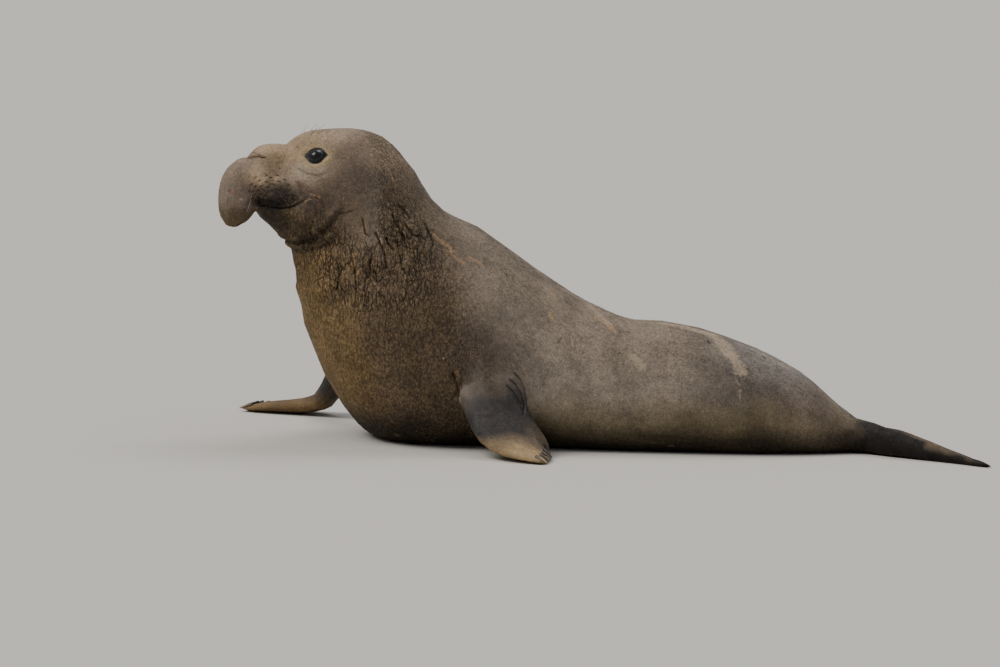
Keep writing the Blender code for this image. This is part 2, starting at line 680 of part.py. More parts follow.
def blade_ring(blade, hand, ahead):
    """A ring round a fore flipper, with a ridge for each digit and notches between their tips.

    The hand is 0 down to the wrist and 1 at the tips."""
    middle, lead, face = (Vector(blade[0:3]), Vector(blade[3:6]), Vector(blade[6:9]))
    ring = []
    for side in range(FLIPPER_SIDES):
        turn = 2 * side / FLIPPER_SIDES
        top = turn <= 1
        part = turn if top else 2 - turn
        across = cos(pi * part) * (1 - hand) + (1 - 2 * part) * hand
        height = max(0.0, 1 - abs(across) ** FLIPPER_SQUARENESS) ** (1 / FLIPPER_SQUARENESS)
        wave = digit_wave(across)
        swell = 1 + DIGIT_RIDGE * min(1, RIDGE_GROWTH * hand) * (wave - 0.5) if top else -1
        digit = min(max((1 - across) / 2 * DIGITS - 0.5, 0), DIGITS - 1)
        reach = between([(length,) for length in DIGIT_LENGTHS], digit)[0] * hand
        point = middle + lead * across + face * height * swell
        point += ahead * (reach - DIGIT_NOTCH * hand**2 * (1 - wave))
        ring.append(on_floor(point))
    return ring


def make_fore_flipper(name, blades):
    """A fore flipper, and the way that its digits point."""
    rows = [tuple(blade.middle) + tuple(blade.lead) + tuple(blade.face) for blade in blades]
    last = len(rows) - 1
    ahead = Vector(blades[last].middle) - Vector(blades[FIRST_HAND_BLADE].middle)
    ahead.z = 0
    ahead.normalize()
    rings = []
    stops = places(0, FIRST_HAND_BLADE, ARM_RINGS_PER_BLADE)
    stops += places(FIRST_HAND_BLADE, last, HAND_RINGS_PER_BLADE)[1:]
    for place in stops:
        hand = max(0.0, (place - FIRST_HAND_BLADE) / (last - FIRST_HAND_BLADE))
        rings.append(blade_ring(between(rows, place), hand, ahead))
    end = [*(Vector(blades[last].middle) + ahead * TIP_ROUNDING), *blades[last].lead, *blades[last].face]
    rings.append(blade_ring(end, 1, ahead))
    for before, point in zip(rings[-2], rings[-1]):
        point.z = (before.z + blades[last].middle[2]) / 2
    return add(name, loft(rings)), ahead


def claw_mesh(root, way, side_way, length, size, grow):
    """A claw that lies along its digit and curves down to its tip."""
    rings = []
    for step in range(CLAW_RINGS + 1):
        part = step / CLAW_RINGS
        middle = root + way * length * part - Vector((0, 0, CLAW_DROOP * length * part**3))
        taper = sqrt(1 - CLAW_TAPER * part)
        ring = []
        for corner in range(CLAW_SIDES):
            angle = 2 * pi * corner / CLAW_SIDES
            point = middle + side_way * cos(angle) * (CLAW_HALF_WIDTH * size * taper + grow)
            point.z += sin(angle) * (CLAW_HALF_HEIGHT * size * taper + grow)
            ring.append(point)
        rings.append(ring)
    rings[0] = [point - way * grow for point in rings[0]]
    return loft(rings)


def make_claws(flipper, name, blades, ahead):
    """Five claws, one on top of each digit, each in its own socket."""
    last = blades[-1]
    lead = Vector(last.lead)
    tree = surface_tree(flipper)
    sockets = []
    for digit in range(DIGITS):
        across = 1 - 2 * (digit + 0.5) / DIGITS
        length, size = FIRST_CLAW if digit == 0 else OTHER_CLAWS
        tip = Vector(last.middle) + lead * across + ahead * (DIGIT_LENGTHS[digit] - CLAW_FROM_TIP)
        root = tip - ahead * length * CLAW_ON_DIGIT
        tip = on_top(tree, tip)
        root = on_top(tree, root)
        shape = (root, (tip - root).normalized(), lead.normalized(), length, size)
        add(f"{name}_{digit + 1}", claw_mesh(*shape, 0.0))
        sockets.append(cutter(claw_mesh(*shape, GAP)))
    combine(flipper, sockets, "DIFFERENCE")


def on_top(tree, point):
    """The highest point of a surface straight above or below a point."""
    return tree.ray_cast(Vector((point.x, point.y, 1)), Vector((0, 0, -1)))[0]


def hind_ring(step, side):
    """A ring round one hind flipper, which stands on its edge beside the other one."""
    x, y, height, thickness, way_x, way_y = step
    way = Vector((way_x, way_y, 0)).normalized()
    out = Vector((-way.y, way.x, 0)) * side
    middle = Vector((x, y, height / 2)) + out * (thickness / 2 + GAP)
    ring = []
    for number in range(HIND_SIDES):
        angle = 2 * pi * number / HIND_SIDES
        swell = 1 + HIND_RIDGE * (digit_wave(cos(angle)) - 0.5) * (1 if sin(angle) > 0 else 0)
        point = middle + Vector((0, 0, height / 2)) * rounded(cos(angle), HIND_SQUARENESS)
        point += out * thickness / 2 * rounded(sin(angle), HIND_SQUARENESS) * swell
        ring.append(on_floor(point))
    return ring


def make_hind_flipper(name, side, share):
    rows = []
    for number, step in enumerate(HIND_LINE):
        before = HIND_LINE[max(number - 1, 0)]
        after = HIND_LINE[min(number + 1, len(HIND_LINE) - 1)]
        height = step.height * (1 if side < 0 else FAR_FLIPPER_HEIGHT)
        rows.append((step.x, step.y, height, step.thickness, after.x - before.x, after.y - before.y))
    last = (len(rows) - 1) * share
    stops = [last * ring / HIND_RINGS for ring in range(HIND_RINGS + 1)]
    rings = [hind_ring(between(rows, stop), side) for stop in stops]
    return add(name, loft(rings))


def make_tail(grow=0.0):
    rings = []
    for number, (point, sizes) in enumerate(zip(TAIL_LINE, TAIL_HALF_SIZES)):
        before = Vector(TAIL_LINE[max(number - 1, 0)])
        after = Vector(TAIL_LINE[min(number + 1, len(TAIL_LINE) - 1)])
        across = (after - before).cross(Vector((0, 0, 1))).normalized()
        ring = []
        for side in range(TAIL_SIDES):
            angle = 2 * pi * side / TAIL_SIDES
            place = Vector(point) + across * cos(angle) * (sizes[0] + grow)
            place.z += sin(angle) * (sizes[1] + grow)
            ring.append(place)
        rings.append(ring)
    return loft(rings)


def finish(obj):
    """Gives a node the material whose name its own name starts with."""
    slot = max((name for name in FINISHES if obj.name.startswith(name)), key=len)
    color, roughness = FINISHES[slot]
    material = bpy.data.materials.new(obj.name)
    material.use_nodes = True
    shader = material.node_tree.nodes["Principled BSDF"]
    shader.inputs["Base Color"].default_value = (*color, 1)
    shader.inputs["Roughness"].default_value = roughness
    shader.inputs["Metallic"].default_value = 0.0
    obj.data.materials.clear()
    obj.data.materials.append(material)
    obj.data.shade_smooth()
    obj.data.set_sharp_from_angle(angle=SHARP_ANGLE)


def main():
    clear_scene()
    for name, (first, last, rings_per_slice) in LENGTHS.items():
        make_length(name, first, last, rings_per_slice)
    make_head()
    for name, blades in (("left", LEFT_ARM), ("right", RIGHT_ARM)):
        flipper, ahead = make_fore_flipper(f"fore_flipper_{name}", blades)
        combine(flipper, [skin_copy()], "DIFFERENCE")
        make_claws(flipper, f"claw_{name}", blades, ahead)
    left = make_hind_flipper("hind_flipper_left", -1, 1.0)
    right = make_hind_flipper("hind_flipper_right", 1, FAR_FLIPPER_SHARE)
    tail = add("tail", make_tail())
    for flipper in (left, right):
        combine(flipper, [skin_copy()], "DIFFERENCE")
        combine(flipper, [cutter(make_tail(GAP))], "DIFFERENCE")
    combine(tail, [skin_copy()], "DIFFERENCE")
    for obj in bpy.data.objects:
        finish(obj)


main()
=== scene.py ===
# %% [markdown]
# # A northern elephant seal bull, life-size
# This lesson dresses a solid model of a bull seal that rears up from its belly. The solids
# give the shape. One skin is drawn over them and gets its folds, its markings and its short
# coat, and then the eyes, claws and whiskers are set in place.
# The frame is loaded first, because every later piece is placed by it.

# %% Load the frame
from functools import reduce
from math import cos, radians, sin, tan

import bmesh
import bpy
import numpy as np
from mathutils import Matrix, Vector, noise
from mathutils.bvhtree import BVHTree


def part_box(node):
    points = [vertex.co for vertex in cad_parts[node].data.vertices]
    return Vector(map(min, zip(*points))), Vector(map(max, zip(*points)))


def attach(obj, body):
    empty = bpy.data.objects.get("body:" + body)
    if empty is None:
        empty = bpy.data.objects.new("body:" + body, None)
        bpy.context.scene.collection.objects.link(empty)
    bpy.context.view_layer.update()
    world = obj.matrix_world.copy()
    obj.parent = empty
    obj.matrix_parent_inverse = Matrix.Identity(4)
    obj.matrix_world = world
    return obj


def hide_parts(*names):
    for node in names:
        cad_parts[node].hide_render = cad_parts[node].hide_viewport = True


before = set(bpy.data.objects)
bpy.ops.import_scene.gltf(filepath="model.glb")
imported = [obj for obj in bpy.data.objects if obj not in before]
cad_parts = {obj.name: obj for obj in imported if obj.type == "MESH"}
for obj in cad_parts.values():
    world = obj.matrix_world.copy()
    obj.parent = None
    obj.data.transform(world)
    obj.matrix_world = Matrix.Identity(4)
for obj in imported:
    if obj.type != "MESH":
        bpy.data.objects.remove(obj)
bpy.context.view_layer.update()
print("frame:", len(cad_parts), "nodes")

# %% [markdown]
# ## The camera
# The seal is seen from its left side, from 25 m away and a little above, through a long
# lens, so that near and far parts keep their true sizes. The camera goes back from the
# origin along its line of sight, rolls a little, and turns by the small amount that puts
# the seal where it belongs in the picture. A shifted lens could do the last step, but a
# turned camera also works when the view is changed later.

# %% Place the camera
CAMERA_DISTANCE = 25.0
CAMERA_RAISED = radians(7.0)
CAMERA_ROLL = radians(1.9)
LENS_MM = 193.5
SENSOR_MM = 36.0
SEEN_AS_FAR_AS = 400.0
AIM = Vector((-140.0, 109.5, -5375.0))


def add_object(name, data):
    data.name = name
    obj = bpy.data.objects.new(name, data)
    bpy.context.scene.collection.objects.link(obj)
    return obj


def place_camera():
    back = Vector((0.0, -cos(CAMERA_RAISED), sin(CAMERA_RAISED)))
    rolled = back.to_track_quat("Z", "Y").to_matrix() @ Matrix.Rotation(CAMERA_ROLL, 3, "Z")
    turn = Vector((0, 0, -1)).rotation_difference(AIM.normalized()).to_matrix()
    camera = add_object("camera", bpy.data.cameras.new("camera"))
    camera.data.lens = LENS_MM
    camera.data.sensor_width = SENSOR_MM
    camera.data.clip_end = SEEN_AS_FAR_AS
    camera.matrix_world = Matrix.Translation(back * CAMERA_DISTANCE) @ (rolled @ turn).to_4x4()
    bpy.context.scene.camera = camera
    return camera


camera = place_camera()
print("camera at", [round(value, 2) for value in camera.matrix_world.translation])

# %% [markdown]
# ## The floor and the light
# A plain pale floor fills the picture. The light is soft studio light: a very broad sun from
# the upper left, a weak one from behind that draws the back's edge, and a pale world that
# fills the shade. A sun lights the far floor as brightly as the near one, which a lamp at a
# few metres would not, and its wide angle keeps the shadows soft.

# %% Lay the floor and set the lamps
FLOOR_HALF = 120.0
FLOOR_DROP = 0.001
FLOOR_COLOR = (0.55, 0.53, 0.50, 1)
SKY_COLOR = (0.90, 0.91, 0.93, 1)
SKY_STRENGTH = 0.42


def set_inputs(node, inputs):
    """Sets a node's inputs by identifier, name or number, and links those given as an output."""
    by_identifier = {found.identifier: found for found in node.inputs}
    for key, value in inputs.items():
        wanted = by_identifier[key] if key in by_identifier else node.inputs[key]
        if isinstance(value, bpy.types.NodeSocket):
            node.id_data.links.new(value, wanted)
        else:
            wanted.default_value = value


def new_material(name, inputs=None):
    """A new material, and its shader with some inputs set."""
    material = bpy.data.materials.new(name)
    material.use_nodes = True
    shader = material.node_tree.nodes["Principled BSDF"]
    set_inputs(shader, inputs or {})
    return material, shader


def lay_floor():
    mesh = bpy.data.meshes.new("studio_floor")
    corners = [(x * FLOOR_HALF, y * FLOOR_HALF, -FLOOR_DROP) for x, y in ((-1, -1), (1, -1), (1, 1), (-1, 1))]
    mesh.from_pydata(corners, [], [(0, 1, 2, 3)])
    mesh.materials.append(new_material("pale_floor", {"Base Color": FLOOR_COLOR, "Roughness": 0.9})[0])
    add_object("studio_floor", mesh)


def add_sun(name, place, strength, width, color):
    """A sun that shines from a place towards the seal, as wide as an angle."""
    data = bpy.data.lights.new(name, "SUN")
    data.angle, data.energy, data.color = width, strength, color
    turn = (-Vector(place)).to_track_quat("-Z", "Y").to_matrix().to_4x4()
    add_object(name, data).matrix_world = Matrix.Translation(place) @ turn


lay_floor()
add_sun("key_sun", (-6.2, -2.2, 8.2), 2.5, radians(38), (1.0, 0.955, 0.89))
add_sun("rim_sun", (2.0, 4.0, 8.0), 0.9, radians(30), (0.98, 0.98, 1.0))
world = bpy.data.worlds.new("pale_studio")
world.use_nodes = True
set_inputs(world.node_tree.nodes["Background"], {"Color": SKY_COLOR, "Strength": SKY_STRENGTH})
bpy.context.scene.world = world
print("floor and lamps set")

# %% [markdown]
# ## One skin over the flesh
# On the real seal one hide covers everything but the eyes and claws. The solids are
# separate lengths with hair-thin gaps. Each is copied, grown by less than a millimetre so
# that the gaps close, and all are wrapped in one voxel mesh. The eyeballs take part too,
# so that no pits are left behind them. A Boolean union would also join the lengths, but it
# keeps their large flat facets, while small even voxels can be smoothed.

# %% Wrap the solids in one voxel mesh
FLESH = ["head", "proboscis", "lower_jaw", "neck", "chest", "torso", "hind_body", "tail",
         "fore_flipper_left", "fore_flipper_right", "hind_flipper_left", "hind_flipper_right"]
EYES = ["eye_left", "eye_right"]
CLAWS = sorted(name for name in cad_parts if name.startswith("claw"))
GAP_CLOSER = 0.0004
SAME_POINT = 1e-5
VOXEL = 0.0075


def merged_copy(node, grow):
    """The node's shape with its loose triangles merged, moved out along its normals."""
    shape = bmesh.new()
    shape.from_mesh(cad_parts[node].data)
    bmesh.ops.remove_doubles(shape, verts=shape.verts, dist=SAME_POINT)
    shape.normal_update()
    for vert in shape.verts:
        vert.co += vert.normal * grow
    return shape


def gather(nodes, grow):
    """All the named nodes' shapes as one mesh."""
    points, faces = [], []
    for node in nodes:
        shape = merged_copy(node, grow)
        start = len(points)
        points += [vert.co[:] for vert in shape.verts]
        faces += [[start + vert.index for vert in face.verts] for face in shape.faces]
        shape.free()
    mesh = bpy.data.meshes.new("flesh")
    mesh.from_pydata(points, [], faces)
    return mesh


def baked(obj):
    """Applies the object's modifiers to its mesh and removes them."""
    bpy.context.view_layer.update()
    graph = bpy.context.evaluated_depsgraph_get()
    mesh = bpy.data.meshes.new_from_object(obj.evaluated_get(graph))
    obj.modifiers.clear()
    old, obj.data = obj.data, mesh
    bpy.data.meshes.remove(old)
    mesh.name = obj.name


skin = add_object("skin", gather(FLESH + EYES, GAP_CLOSER))
wrap = skin.modifiers.new("wrap", "REMESH")
wrap.mode = "VOXEL"
wrap.voxel_size = VOXEL
baked(skin)
print("wrapped:", len(skin.data.vertices), "points")

# %% [markdown]
# ## Working on all points at once
# Smoothing and carving move hundreds of thousands of points. A Smooth modifier could do
# some of it, but not with a strength that changes from place to place and without
# shrinking. So the points are read into an array, and each step is one sum over the array.

# %% Read, write and smooth a mesh as arrays
def read(items, name, width, kind=np.float32):
    """One property of many points, edges or corners, as an array with a row for each."""
    flat = np.empty(len(items) * width, kind)
    items.foreach_get(name, flat)
    return flat.reshape(-1, width)


def points_of(mesh):
    return read(mesh.vertices, "co", 3).astype(float)


def put_points(mesh, points):
    mesh.vertices.foreach_set("co", points.astype(np.float32).ravel())
    mesh.update()


def normals_of(mesh):
    return read(mesh.vertex_normals, "vector", 3).astype(float)


def neighbour_mean(mesh):
    """A function that gives each point's mean over its neighbours, for any array of values."""
    ends = read(mesh.edges, "vertices", 2, np.int32)
    pairs = np.concatenate([ends, ends[:, ::-1]])
    pairs = pairs[np.argsort(pairs[:, 0], kind="stable")]
    starts = np.searchsorted(pairs[:, 0], np.arange(len(mesh.vertices)))
    counts = np.bincount(pairs[:, 0], minlength=len(mesh.vertices))[:, None]
    return lambda values: np.add.reduceat(values[pairs[:, 1]], starts, axis=0) / counts


def smoothed(values, mean, strength, rounds):
    for _ in range(rounds):
        values = values + (mean(values) - values) * strength
    return values


def smoothed_without_shrinking(points, mean, strength, rounds):
    """Smooths, then gives back the smooth part of what was lost, so that limbs stay as thick."""
    once = smoothed(points, mean, strength, rounds)
    return once + smoothed(points - once, mean, strength, rounds)


# %% [markdown]
# ## Places on the straight seal
# The solid model was shaped with a straight neck and then swayed to the left. Folds and
# markings are easier to describe on the straight shape, where both cheeks mirror each
# other. This step undoes the sway for any point, by trying again from each better guess.

# %% Undo the sway
SWAY_START = -0.35
SWAY_END = -1.15
SWAY_ANGLE = radians(14)
RUMP_START = 0.900
RUMP_BEND = 3.4
SWAY_ROUNDS = 14


def straighten(points):
    """The same points on the straight seal: x along it, y to its right, z up."""
    run = SWAY_START - SWAY_END
    slope = tan(SWAY_ANGLE)
    x = points[:, 0].copy()
    for _ in range(SWAY_ROUNDS):
        part = np.clip((SWAY_START - x) / run, 0, None)
        capped = np.minimum(part, 1)
        angle = np.arctan(slope * capped**2 * (3 - 2 * capped))
        shift = run * slope * (capped**3 - capped**4 / 2) + np.where(part > 1, (SWAY_END - x) * slope, 0)
        y = (points[:, 1] + shift) / np.cos(angle)
        x = points[:, 0] + y * np.sin(angle)
    bend = np.clip(points[:, 0] - RUMP_START, 0, None) ** 2 * RUMP_BEND
    return np.stack([x, y + bend, points[:, 2]], axis=1)


# %% [markdown]
# ## Which part is where
# The strength of the smoothing depends on the part: strong on the great flat facets of the
# body and where a limb grows out of it, weak on the hands and round the eyes. Each point
# of the skin is looked up in a search tree of the solids to find the part it came from.

# %% Find each point's part
BODY_PARTS = ["neck", "chest", "torso", "hind_body"]
HEAD_PARTS = ["head", "proboscis", "lower_jaw"] + EYES
FORE_PARTS = ["fore_flipper_left", "fore_flipper_right"]
HIND_PARTS = ["hind_flipper_left", "hind_flipper_right", "tail"]
PARTS = FLESH + EYES


def search_tree(nodes):
    """A search tree over several solids, and the solid that each of its faces belongs to."""
    points, faces, owners = [], [], []
    for number, node in enumerate(nodes):
        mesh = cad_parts[node].data
        start = len(points)
        points += [vert.co[:] for vert in mesh.vertices]
        faces += [[start + corner for corner in face.vertices] for face in mesh.polygons]
        owners += [number] * len(mesh.polygons)
    return BVHTree.FromPolygons(points, faces), owners


def nearest_parts(points):
    tree, owners = search_tree(PARTS)
    return np.array([owners[tree.find_nearest(point)[2]] for point in points])


def distance_to(points, nodes, reach):
    """How far each point is from some solids, or the reach where it is farther."""
    tree, _ = search_tree(nodes)
    found = [tree.find_nearest(point, reach)[3] for point in points]
    return np.array([reach if distance is None else distance for distance in found])


def bump(distance, width):
    return np.exp(-((distance / width) ** 2))


def ramp(values, start, end):
    """0 up to the start, 1 from the end on, and a smooth step between."""
    part = np.clip((values - start) / (end - start), 0, 1)
    return part * part * (3 - 2 * part)


def of_parts(names):
    """Which points came from the named parts."""
    return np.isin(owner, [PARTS.index(name) for name in names])


places = points_of(skin.data)
straight = straighten(places)
owner = nearest_parts(places)
in_fore = of_parts(FORE_PARTS)
in_hind = of_parts(HIND_PARTS)
print("head points:", int(of_parts(HEAD_PARTS).sum()), " fore flipper points:", int(in_fore.sum()))

# %% [markdown]
# ## Smooth the skin
# A real hide has no facets. The body's are up to a hand wide, so they need wide smoothing,
# which would melt the toes. The strength is therefore a number for each point: the share
# of the full smoothing that its part can take.

# %% Smooth by part
SMOOTH_WIDTH = 0.028
SMOOTH_STEP = 0.5
SMOOTH_SHARES = {"body": 1.0, "head": 0.22, "trunk": 0.12, "hand": 0.015, "forearm": 0.14,
                 "hind flippers": 0.035, "eyes": 0.02}
SHARE_ROUNDS = 12
JOIN_WIDTH = 0.045
JOIN_REACH = 0.16
WRIST_HEIGHTS = (0.085, 0.20)
EYE_ZONE = (0.052, 0.090)

eye_middles = {name: np.array(sum(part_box(name), Vector()) / 2) for name in EYES}


def eye_away(places):
    """How far each point is from the nearer eyeball's middle."""
    return np.min([np.linalg.norm(places - middle, axis=1) for middle in eye_middles.values()], axis=0)


def near_join(points, nodes):
    return bump(distance_to(points, nodes, JOIN_REACH), JOIN_WIDTH)


join = np.zeros(len(places))
beside = of_parts(BODY_PARTS)
for points, nodes in ((in_fore, BODY_PARTS), (in_hind, ["hind_body"]), (beside, FORE_PARTS + HIND_PARTS)):
    join[points] = near_join(places[points], nodes)

share = np.full(len(places), SMOOTH_SHARES["body"])
share[of_parts(HEAD_PARTS)] = SMOOTH_SHARES["head"]
share[of_parts(["proboscis"])] = SMOOTH_SHARES["trunk"]
forearm = ramp(places[:, 2], *WRIST_HEIGHTS)
share[in_fore] = (SMOOTH_SHARES["hand"] * (1 - forearm) + SMOOTH_SHARES["forearm"] * forearm)[in_fore]
share[in_hind] = SMOOTH_SHARES["hind flippers"]
share = share * (1 - join) + join * SMOOTH_SHARES["body"]
near_eye = 1 - ramp(eye_away(places), *EYE_ZONE)
share = share * (1 - near_eye) + near_eye * SMOOTH_SHARES["eyes"]
mean = neighbour_mean(skin.data)
share = smoothed(share[:, None], mean, SMOOTH_STEP, SHARE_ROUNDS)
rounds = int(round(4 * (SMOOTH_WIDTH / VOXEL) ** 2))
put_points(skin.data, smoothed_without_shrinking(places, mean, SMOOTH_STEP * share, rounds))
print("smoothed in", rounds, "rounds")

# %% [markdown]
# ## The lines of the hide
# The mouth, the fold under the chin, the cracks of the neck shield and the creases round the
# flipper are all written here as lines on a side view of the straight seal, from the nose
# towards the tail, each with its depth and width. Three later steps read them: one makes the
# mesh finer along them, one carves them, and one paints shade into their bottoms.

# %% Write down the lines
LIPS = [
    (-1.9, 1.078), (-1.798, 1.074), (-1.781, 1.079), (-1.749, 1.074), (-1.716, 1.071), (-1.684, 1.079),
    (-1.657, 1.094), (-1.64, 1.108), (-1.612, 1.12)]
NOSTRIL = np.array([-1.872, 0.04, 0.99])
EAR = (-1.448, 1.204)
PAD = ((-1.74, 1.15), (0.11, 0.068))
PAD_RISE = 0.0075
# Pits of the whisker pad, each the root of one whisker
PITS = [
    (-1.819, 1.206), (-1.773, 1.217), (-1.729, 1.221), (-1.838, 1.173), (-1.802, 1.193), (-1.756, 1.209),
    (-1.7, 1.204), (-1.818, 1.166), (-1.773, 1.189), (-1.724, 1.193), (-1.845, 1.143), (-1.795, 1.167),
    (-1.747, 1.18), (-1.686, 1.181), (-1.829, 1.143), (-1.768, 1.165), (-1.71, 1.17), (-1.805, 1.148),
    (-1.733, 1.158), (-1.68, 1.158), (-1.818, 1.127), (-1.794, 1.131), (-1.751, 1.149), (-1.7, 1.146), (-1.83, 1.111),
    (-1.779, 1.124), (-1.721, 1.135), (-1.664, 1.133), (-1.804, 1.113), (-1.753, 1.12), (-1.691, 1.129),
    (-1.813, 1.101), (-1.765, 1.102), (-1.73, 1.113), (-1.672, 1.115)]
BROW_WARTS = [
    (-1.584, 1.392), (-1.57, 1.401), (-1.556, 1.396), (-1.544, 1.409), (-1.53, 1.401), (-1.512, 1.39), (-1.552, 1.38),
    (-1.526, 1.384), (-1.508, 1.412)]
# name, line, depth, width, how far the upper side swells
TRUNK_LINES = [
    ("trunk crease", [(-1.85, 1.291), (-1.836, 1.291), (-1.807, 1.3), (-1.771, 1.297)], 0.008, 0.005, 0.003),
    ("beside the crease", [(-1.822, 1.318), (-1.8, 1.306), (-1.778, 1.309)], 0.0022, 0.0036, 0.0008),
]
FACE_LINES = [
    ("mouth", LIPS, 0.009, 0.0036, 0.002),
    ("chin fold", [(-1.7, 0.912), (-1.628, 0.914), (-1.567, 0.946), (-1.518, 1.005), (-1.48, 1.066), (-1.445, 1.098)],
     0.009, 0.0085, 0.011),
    ("second chin fold", [(-1.69, 0.866), (-1.6, 0.872), (-1.53, 0.905), (-1.47, 0.96)], 0.0045, 0.01, 0.004),
    ("corner of the mouth", [(-1.606, 1.108), (-1.58, 1.092), (-1.566, 1.058)], 0.003, 0.005, 0.001),
    ("behind the corner", [(-1.58, 1.135), (-1.548, 1.108), (-1.53, 1.066)], 0.0024, 0.006, 0.001),
    ("cheek", [(-1.505, 1.072), (-1.452, 1.066), (-1.405, 1.08)], 0.003, 0.006, 0.001),
    ("under the lid", [(-1.655, 1.262), (-1.61, 1.238), (-1.56, 1.232), (-1.52, 1.246)], 0.0022, 0.008, 0.001),
    ("behind the pad", [(-1.655, 1.205), (-1.64, 1.17), (-1.632, 1.13)], 0.0022, 0.009, 0.001),
]
NECK_LINES = [
    ("long crack", [(-1.33, 0.995), (-1.32, 0.984), (-1.296, 0.925), (-1.283, 0.894), (-1.274, 0.807)],
     0.01, 0.0042, 0.003),
    ("short crack", [(-1.276, 0.97), (-1.262, 0.935), (-1.235, 0.894)], 0.0085, 0.004, 0.0025),
    ("between", [(-1.237, 0.958), (-1.219, 0.923)], 0.006, 0.0038, 0.0018),
    ("hind crack", [(-1.225, 1.027), (-1.196, 0.979), (-1.177, 0.909)], 0.009, 0.004, 0.0028),
    ("nape crack", [(-1.187, 1.028), (-1.16, 0.99), (-1.148, 0.973), (-1.116, 0.966)], 0.0085, 0.004, 0.0025),
    ("high crack", [(-1.21, 1.111), (-1.171, 1.07), (-1.153, 1.038)], 0.008, 0.0038, 0.0022),
    ("high crack before", [(-1.243, 1.069), (-1.232, 1.04), (-1.218, 1.007)], 0.006, 0.004, 0.002),
    ("front crack", [(-1.376, 1.053), (-1.364, 0.977), (-1.34, 0.96)], 0.007, 0.0044, 0.002),
    ("low crack", [(-1.348, 0.872), (-1.343, 0.811), (-1.359, 0.768)], 0.0075, 0.0044, 0.0025),
    ("throat crack", [(-1.482, 0.7), (-1.47, 0.79), (-1.48, 0.86)], 0.006, 0.0048, 0.002),
    ("throat crack behind", [(-1.425, 0.88), (-1.408, 0.8), (-1.402, 0.7)], 0.006, 0.0046, 0.002),
    ("shoulder crack", [(-1.09, 1.03), (-1.06, 0.97), (-1.05, 0.91)], 0.005, 0.0042, 0.0018),
]
FLIPPER_LINES = [
    ("behind the flipper", [(-0.649, 0.345), (-0.602, 0.313), (-0.567, 0.268), (-0.554, 0.223), (-0.556, 0.18)],
     0.012, 0.0048, 0.004),
    ("second fold", [(-0.622, 0.372), (-0.575, 0.332), (-0.551, 0.287), (-0.546, 0.232)], 0.009, 0.0042, 0.0032),
    ("inner fold", [(-0.666, 0.321), (-0.612, 0.277), (-0.571, 0.232), (-0.562, 0.2)], 0.008, 0.0042, 0.003),
    ("before the flipper", [(-0.975, 0.37), (-0.94, 0.31), (-0.93, 0.24)], 0.006, 0.008, 0.002),
]
WRIST_LINES = [
    ("wrist", [(-0.83, 0.06), (-0.8, 0.1), (-0.74, 0.116), (-0.66, 0.11), (-0.59, 0.085)], 0.003, 0.006, 0.0015),
    ("above the wrist", [(-0.835, 0.11), (-0.78, 0.138), (-0.7, 0.14), (-0.62, 0.118)], 0.002, 0.006, 0.001),
]
print("lines:", len(TRUNK_LINES + FACE_LINES + NECK_LINES + FLIPPER_LINES + WRIST_LINES))

# %% [markdown]
# ## Finer mesh where the detail is small
# Lids, lips and nostrils need points two millimetres apart, and the flank doesn't. So only
# the faces near those features are cut into smaller ones. One fine mesh all over would be
# simpler, but it would have twenty times as many faces.

# %% Cut the faces finer round the features
FINE_LINES = TRUNK_LINES + FACE_LINES + NECK_LINES + FLIPPER_LINES
ALONG_A_LINE = 0.014
ALONG_THE_CREASE = 0.012
FACE_ENDS = -1.38
BROW = (-1.545, 1.396)
BROW_REACH = 0.06
# How near the eye, the lips, the nostril and the pad a face is cut once, and twice
FINE_REACH = ((0.085, 0.030, 0.050, 1.15), (0.070, 0.014, 0.036, 1.02))


def nearest_on_line(straight, line):
    """Distance to a line on the side view, the side of it and the share of its length, for each point."""
    points = straight[:, [0, 2]]
    best = np.full(len(points), np.inf)
    side = np.zeros(len(points))
    along = np.zeros(len(points))
    steps = [(np.array(start), np.array(end)) for start, end in zip(line, line[1:])]
    lengths = [np.hypot(*(end - start)) for start, end in steps]
    done = 0.0
    for (start, end), length in zip(steps, lengths):
        way = (end - start) / length
        offset = points - start
        run = np.clip(offset @ way, 0, length)
        away = offset - run[:, None] * way
        distance = np.hypot(away[:, 0], away[:, 1])
        nearer = distance < best
        best = np.where(nearer, distance, best)
        side = np.where(nearer, np.sign(way[0] * offset[:, 1] - way[1] * offset[:, 0]), side)
        along = np.where(nearer, (done + run) / sum(lengths), along)
        done += length
    return best, side, along


def from_spot(straight, spot, radii=(1, 1)):
    """How far each point is from a spot on the side view, in metres or in an oval's radii."""
    return np.hypot((straight[:, 0] - spot[0]) / radii[0], (straight[:, 2] - spot[1]) / radii[1])


def fineness(straight, places):
    """How many times the mesh is halved at each point."""
    in_face = straight[:, 0] < FACE_ENDS
    eye, lip = eye_away(places), nearest_on_line(straight, LIPS)[0]
    nostril, pad = from_spot(straight, NOSTRIL[[0, 2]]), from_spot(straight, *PAD)
    once, twice = [(eye < by_eye) | ((lip < by_lip) | (nostril < by_nostril) | (pad < by_pad)) & in_face
                   for by_eye, by_lip, by_nostril, by_pad in FINE_REACH]
    once |= (from_spot(straight, BROW) < BROW_REACH) & in_face
    once |= np.min([nearest_on_line(straight, line)[0] for _, line, *_ in FINE_LINES], axis=0) < ALONG_A_LINE
    twice |= (nearest_on_line(straight, TRUNK_LINES[0][1])[0] < ALONG_THE_CREASE) & in_face
    return once.astype(int) + (once & twice)


